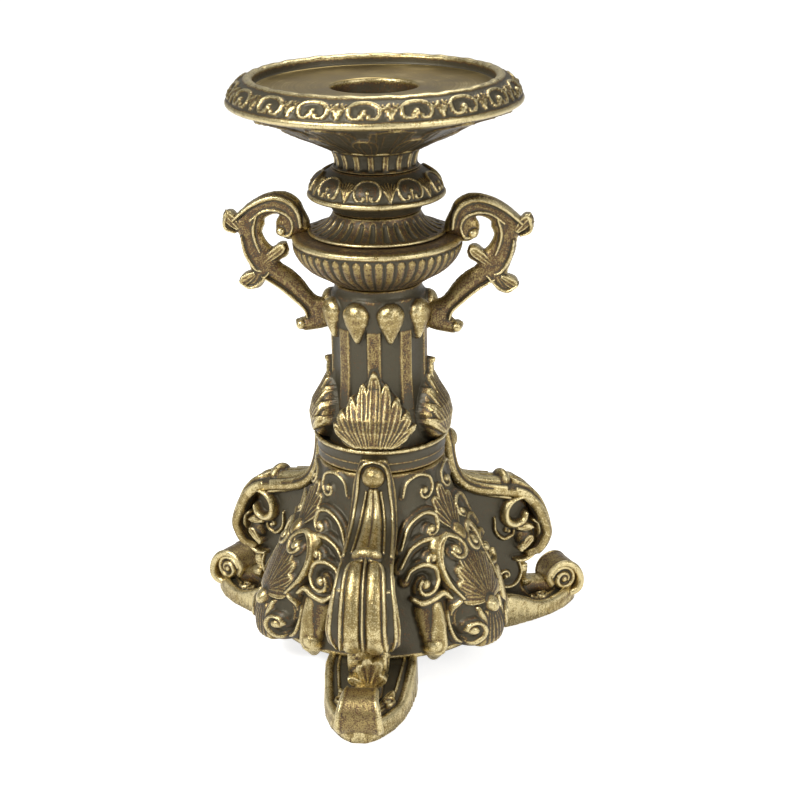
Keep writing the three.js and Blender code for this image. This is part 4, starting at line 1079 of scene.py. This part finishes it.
def make_legs(finish, carving):
    """Three scrolled legs, each one casting of strap, web, foot plate and toe."""
    cell = carving.cell
    strap = swept(strap_relief, STRAP, round(31 / cell), round(114 / cell), 5.0)
    side = pillow(leg_side, (31, 3.6), (114.2, 107), cell)
    bmesh.ops.transform(side, matrix=Matrix(((1, 0, 0, 0), (0, 0, 1, 0), (0, 1, 0, 0), (0, 0, 0, 1))),
                        verts=side.verts)
    plate = pillow(foot_plate, (50, -23.4), (113, 23.4), cell, flat=True)
    bmesh.ops.translate(plate, vec=(0, 0, 0.6), verts=plate.verts)
    toe = swept(toe_relief, TOE, round(24 / cell), round(66 / cell), 3.4)
    leaves = pillow(crest, (-11, 9), (13, 34), cell, flat=True)
    facing = Matrix(((0, 0, 1, 75.5), (1, 0, 0, 0), (0, 1, 0, 0), (0, 0, 0, 1)))
    bmesh.ops.transform(leaves, matrix=facing, verts=leaves.verts)
    whole = joined(strap, side, plate, toe, leaves)
    bronze = gilded_bronze("leg_bronze", finish, 0.03, 1.15)
    mesh = made_mesh("leg_casting", whole, [bronze], reach=0.2)
    for i, name in enumerate(LEGS):
        stood(f"leg_{name}_casting", mesh, f"leg_{name}", FRONT + i * TAU / 3)


# ------------------------------------------------------------------ the handles

# Side view of the scroll handle, going round once, in shares of its height: [out from the shaft, up].
HANDLE = [
    (0.6965, 0.8656), (0.7197, 0.815), (0.7124, 0.7514), (0.6806, 0.7168), (0.6127, 0.6994), (0.5968,
            0.6084),
    (0.5665, 0.5231), (0.539, 0.4436), (0.5434, 0.409), (0.5723, 0.3801), (0.6171, 0.3772), (0.6084,
            0.3454),
    (0.5621, 0.3092), (0.5202, 0.2977), (0.4711, 0.3136), (0.4176, 0.3714), (0.3338, 0.3121), (0.2529,
            0.2457),
    (0.1864, 0.1792), (0.1532, 0.1358), (0.1604, 0.1069), (0.1965, 0.0853), (0.2312, 0.078), (0.2254,
            0.0347),
    (0.185, 0.0043), (0.1358, 0), (-0.03, 0.0506), (-0.03, 0.2168), (0.0723, 0.25), (0.1199, 0.2934),
    (0.172, 0.3671), (0.2457, 0.4393), (0.3295, 0.4986), (0.276, 0.539), (0.2616, 0.5896), (0.2861, 0.6387),
    (0.3295, 0.604), (0.3642, 0.5983), (0.3974, 0.6199), (0.4292, 0.6618), (0.4451, 0.7124), (0.4263,
            0.7645),
    (0.4234, 0.8035), (0.3685, 0.8338), (0.3208, 0.8324), (0.3425, 0.7948), (0.3468, 0.7457), (0.3251,
            0.6965),
    (0.2789, 0.6633), (0.2312, 0.659), (0.1749, 0.6922), (0.1113, 0.7225), (0.1113, 0.7977), (0.1416,
            0.8613),
    (0.1734, 0.9321), (0.2327, 0.9812), (0.3064, 1), (0.4032, 0.9841), (0.4855, 0.9436), (0.5564, 0.896),
    (0.6055, 0.841), (0.6474, 0.841),
]


def make_handles(finish, carving):
    """The two scroll handles, rounded castings with a crest line and leaves."""
    tall, foot, joint = 69.2, span("handle_right")[0], 24.8

    def scaled(points):
        return [(joint + out * tall, foot + up * tall) for out, up in points]

    def draw(work):
        work.plate(curve(scaled([*HANDLE, HANDLE[0]]), 4)[:-1], 4.4, 6.0, 0, 0.16)
        crest = [(0.64, 0.80), (0.54, 0.885), (0.44, 0.94), (0.335, 0.962), (0.24, 0.93), (0.185, 0.86),
                 (0.165, 0.76)]
        work.bead(curve(scaled(crest), 5), [0.8, 1.3, 1.4, 1.0], 1.5, 3.6, 0.24)
        inner = [(0.52, 0.80), (0.43, 0.865), (0.335, 0.875), (0.25, 0.835), (0.222, 0.765), (0.25, 0.70),
                 (0.30, 0.70)]
        work.bead(curve(scaled(inner), 5), [0.6, 0.9, 0.9, 0.8], 1.5, 3.4, 0.34)
        work.ball(scaled([(0.306, 0.728)])[0], 2.6, 3.2, 2.6, 0.34)
        for line in (
            [(0.475, 0.83), (0.50, 0.74), (0.49, 0.66), (0.46, 0.58)],
            [(0.585, 0.68), (0.56, 0.56), (0.50, 0.46), (0.455, 0.44)],
            [(0.61, 0.36), (0.545, 0.32), (0.48, 0.345), (0.40, 0.43)],
            [(0.45, 0.40), (0.33, 0.325), (0.23, 0.24), (0.16, 0.17), (0.14, 0.11)],
            [(0.68, 0.84), (0.70, 0.79), (0.69, 0.74), (0.63, 0.715)],
        ):
            work.bead(curve(scaled(line), 5), [0.6, 1.0, 0.9, 0.6], 1.7, 3.3, 0.34)
        work.petal(*scaled([(0.44, 0.50), (0.285, 0.625)]), 2.4, 1.6, 3.0, 1, 0.26)
        work.petal(*scaled([(0.60, 0.74), (0.695, 0.85)]), 2.6, 1.6, 3.0, 1, 0.26)
        work.petal(*scaled([(0.50, 0.42), (0.605, 0.355)]), 2.4, 1.4, 3.0, 1, 0.2)
        work.ball(scaled([(0.19, 0.05)])[0], 2.4, 2.0, 2.8, 0.26)

    (low, high) = scaled([(-0.04, -0.02), (0.74, 1.02)])
    bm = pillow(draw, low, high, carving.cell * 0.75)
    bmesh.ops.transform(bm, matrix=Matrix(((1, 0, 0, 0), (0, 0, 1, 0), (0, 1, 0, 0), (0, 0, 0, 1))),
                        verts=bm.verts)
    bmesh.ops.recalc_face_normals(bm, faces=bm.faces)
    mesh = made_mesh("handle_casting", bm, [gilded_bronze("handle_bronze", finish, 0.03, 1.1)], reach=0.2)
    for side, angle in (("right", 0.0), ("left", math.pi)):
        stood(f"handle_{side}_casting", mesh, f"handle_{side}", angle)


# ------------------------------------------------------------------ operators


def turned_steel(name, finish):
    """Plain machined steel with faint scratches."""
    material, tree, shader = fresh(name)
    place = tree.nodes.new("ShaderNodeTexCoord").outputs["Object"]
    grain = noise(tree, place, 900, 3)
    steel = tuple(finish.steel)
    tree.links.new(ramp(tree, grain, [(0.3, tuple(0.8 * c for c in steel)), (0.7, steel)]),
                   shader.inputs["Base Color"])
    tree.links.new(maths(tree, "MULTIPLY_ADD", grain, 0.2, 0.28), shader.inputs["Roughness"])
    shader.inputs["Metallic"].default_value = 0.95
    return material


def pressed_felt(name, finish):
    """Short fibres: a matt, mottled green with a fine bump."""
    material, tree, shader = fresh(name)
    place = tree.nodes.new("ShaderNodeTexCoord").outputs["Object"]
    fibre = noise(tree, place, 2600, 4, 0.75)
    felt = tuple(finish.felt)
    stops = [(0.3, tuple(0.6 * c for c in felt)), (0.75, tuple(min(1.0, 1.5 * c) for c in felt))]
    tree.links.new(ramp(tree, fibre, stops), shader.inputs["Base Color"])
    bump = node(tree, "ShaderNodeBump", Strength=0.6, Distance=0.0003)
    tree.links.new(fibre, bump.inputs["Height"])
    tree.links.new(bump.outputs["Normal"], shader.inputs["Normal"])
    shader.inputs["Roughness"].default_value = 0.95
    shader.inputs["Sheen Weight"].default_value = 0.3
    return material


class CastOperator:
    """Runs its makers with the user's finish and carving."""

    def execute(self, context):
        finish, carving = context.scene.stand_finish, context.scene.stand_carving
        for make in self.makers:
            make(finish, carving)
        return {"FINISHED"}


class STAND_OT_stack(CastOperator, bpy.types.Operator):
    """Turns the dish, cup, neck, bell, flare, bowl, column and collar."""

    bl_idname = "stand.stack"
    bl_label = "Turned castings"
    makers = (make_dish, make_leaf_cup, make_neck, make_bell, make_flare, make_bowl, make_column,
              make_collar)


class STAND_OT_tripod(CastOperator, bpy.types.Operator):
    """Casts the body, its panels and the three legs."""

    bl_idname = "stand.tripod"
    bl_label = "Body, panels and legs"
    makers = (make_body, make_panels, make_legs)


class STAND_OT_handles(CastOperator, bpy.types.Operator):
    """Casts the two scroll handles."""

    bl_idname = "stand.handles"
    bl_label = "Handles"
    makers = (make_handles,)


class STAND_OT_fittings(bpy.types.Operator):
    """Gives the rod, bolts, screws, dowels and felt pads their finish."""

    bl_idname = "stand.fittings"
    bl_label = "Fittings"

    def execute(self, context):
        finish = context.scene.stand_finish
        steel, felt = turned_steel("fitting_steel", finish), pressed_felt("pad_felt", finish)
        for name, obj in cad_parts.items():
            obj.data.materials.clear()
            obj.data.materials.append(felt if name.startswith("felt_pad") else steel)
        return {"FINISHED"}


class STAND_OT_studio(bpy.types.Operator):
    """Sets the floor, the lamps, the world and the camera."""

    bl_idname = "stand.studio"
    bl_label = "Studio"

    def execute(self, context):
        make_studio(context.scene, context.scene.stand_studio)
        return {"FINISHED"}


def make_floor():
    """A plain pale floor that keeps the object's shadow."""
    bm = bmesh.new()
    bmesh.ops.create_grid(bm, x_segments=1, y_segments=1, size=6)
    mesh = bpy.data.meshes.new("studio_floor")
    bm.to_mesh(mesh)
    bm.free()
    floor = bpy.data.objects.new("studio_floor", mesh)
    bpy.context.scene.collection.objects.link(floor)
    material, tree, shader = fresh("floor_white")
    shader.inputs["Base Color"].default_value = (0.82, 0.82, 0.82, 1)
    shader.inputs["Roughness"].default_value = 1.0
    shader.inputs["Specular IOR Level"].default_value = 0.0
    path = tree.nodes.new("ShaderNodeLightPath")
    glow = maths(tree, "MULTIPLY_ADD", path.outputs["Is Camera Ray"], 0.75,
                 maths(tree, "MULTIPLY", path.outputs["Is Glossy Ray"], 0.3))
    tree.links.new(glow, shader.inputs["Emission Strength"])
    shader.inputs["Emission Color"].default_value = (1, 1, 1, 1)
    mesh.materials.append(material)


def make_world(scene):
    """White for the camera, a soft grey for light and for reflections."""
    world = bpy.data.worlds.new("studio_world")
    scene.world = world
    world.use_nodes = True
    tree = world.node_tree
    tree.nodes.clear()
    path = tree.nodes.new("ShaderNodeLightPath")
    seen = maths(tree, "MAXIMUM", path.outputs["Is Camera Ray"], path.outputs["Is Transmission Ray"])
    light = node(tree, "ShaderNodeBackground", Strength=0.42)
    white = node(tree, "ShaderNodeBackground", Strength=1.0)
    for background in (light, white):
        background.inputs["Color"].default_value = (1, 1, 1, 1)
    glossy = node(tree, "ShaderNodeBackground", Strength=0.42)
    by_gloss = tree.nodes.new("ShaderNodeMixShader")
    tree.links.new(path.outputs["Is Glossy Ray"], by_gloss.inputs[0])
    tree.links.new(light.outputs[0], by_gloss.inputs[1])
    tree.links.new(glossy.outputs[0], by_gloss.inputs[2])
    by_eye = tree.nodes.new("ShaderNodeMixShader")
    tree.links.new(seen, by_eye.inputs[0])
    tree.links.new(by_gloss.outputs[0], by_eye.inputs[1])
    tree.links.new(white.outputs[0], by_eye.inputs[2])
    output = tree.nodes.new("ShaderNodeOutputWorld")
    tree.links.new(by_eye.outputs[0], output.inputs["Surface"])


def make_lamp(name, power, size, spot, target):
    """A soft square lamp that points at the target."""
    data = bpy.data.lights.new(name, "AREA")
    data.energy = power
    data.shape = "SQUARE"
    data.size = size
    lamp = bpy.data.objects.new(name, data)
    lamp.location = spot
    lamp.rotation_euler = (Vector(target) - Vector(spot)).to_track_quat("-Z", "Y").to_euler()
    bpy.context.scene.collection.objects.link(lamp)


def make_studio(scene, studio):
    """Floor, world, lamps and the photograph's camera."""
    make_floor()
    make_world(scene)
    aim = (AXIS.x, AXIS.y, 0.15)
    make_lamp("key_lamp", studio.key, 0.35, (AXIS.x - 0.55, AXIS.y - 0.75, 0.95), aim)
    make_lamp("fill_lamp", studio.fill, 0.5, (AXIS.x + 0.8, AXIS.y - 0.6, 0.55), aim)
    make_lamp("top_lamp", studio.top, 0.5, (AXIS.x + 0.1, AXIS.y + 0.35, 1.1), aim)
    data = bpy.data.cameras.new("camera")
    data.lens = studio.lens
    data.sensor_width = 36
    camera = bpy.data.objects.new("camera", data)
    camera.location = (AXIS.x + 0.0990, AXIS.y - 0.8104, 0.4263)
    turn = Matrix.Rotation(studio.yaw, 4, "Z") @ Matrix.Rotation(math.pi / 2 - studio.pitch, 4, "X")
    camera.rotation_euler = (turn @ Matrix.Rotation(studio.roll, 4, "Z")).to_euler()
    scene.collection.objects.link(camera)
    scene.camera = camera
    scene.view_settings.view_transform = "Standard"


class STAND_PT_sidebar(bpy.types.Panel):
    """Lists the pieces, the sizes and the colours."""

    bl_idname = "STAND_PT_sidebar"
    bl_label = "Candle stand"
    bl_space_type = "VIEW_3D"
    bl_region_type = "UI"
    bl_category = "Candle stand"

    def draw(self, context):
        scene = context.scene
        for group in (scene.stand_finish, scene.stand_carving, scene.stand_studio):
            box = self.layout.box()
            for name in group.__annotations__:
                box.prop(group, name)
        for operator in OPERATORS:
            self.layout.operator(operator.bl_idname)


OPERATORS = (STAND_OT_stack, STAND_OT_tripod, STAND_OT_handles, STAND_OT_fittings, STAND_OT_studio)
CLASSES = (StandFinish, StandCarving, StudioSettings, *OPERATORS, STAND_PT_sidebar)


def register():
    for kind in CLASSES:
        bpy.utils.register_class(kind)
    bpy.types.Scene.stand_finish = PointerProperty(type=StandFinish)
    bpy.types.Scene.stand_carving = PointerProperty(type=StandCarving)
    bpy.types.Scene.stand_studio = PointerProperty(type=StudioSettings)


def unregister():
    for name in ("stand_studio", "stand_carving", "stand_finish"):
        delattr(bpy.types.Scene, name)
    for kind in reversed(CLASSES):
        bpy.utils.unregister_class(kind)


def main():
    """Builds every piece and the stage."""
    register()
    for operator in OPERATORS:
        group, name = operator.bl_idname.split(".")
        getattr(getattr(bpy.ops, group), name)()


if __name__ == "__main__":
    main()
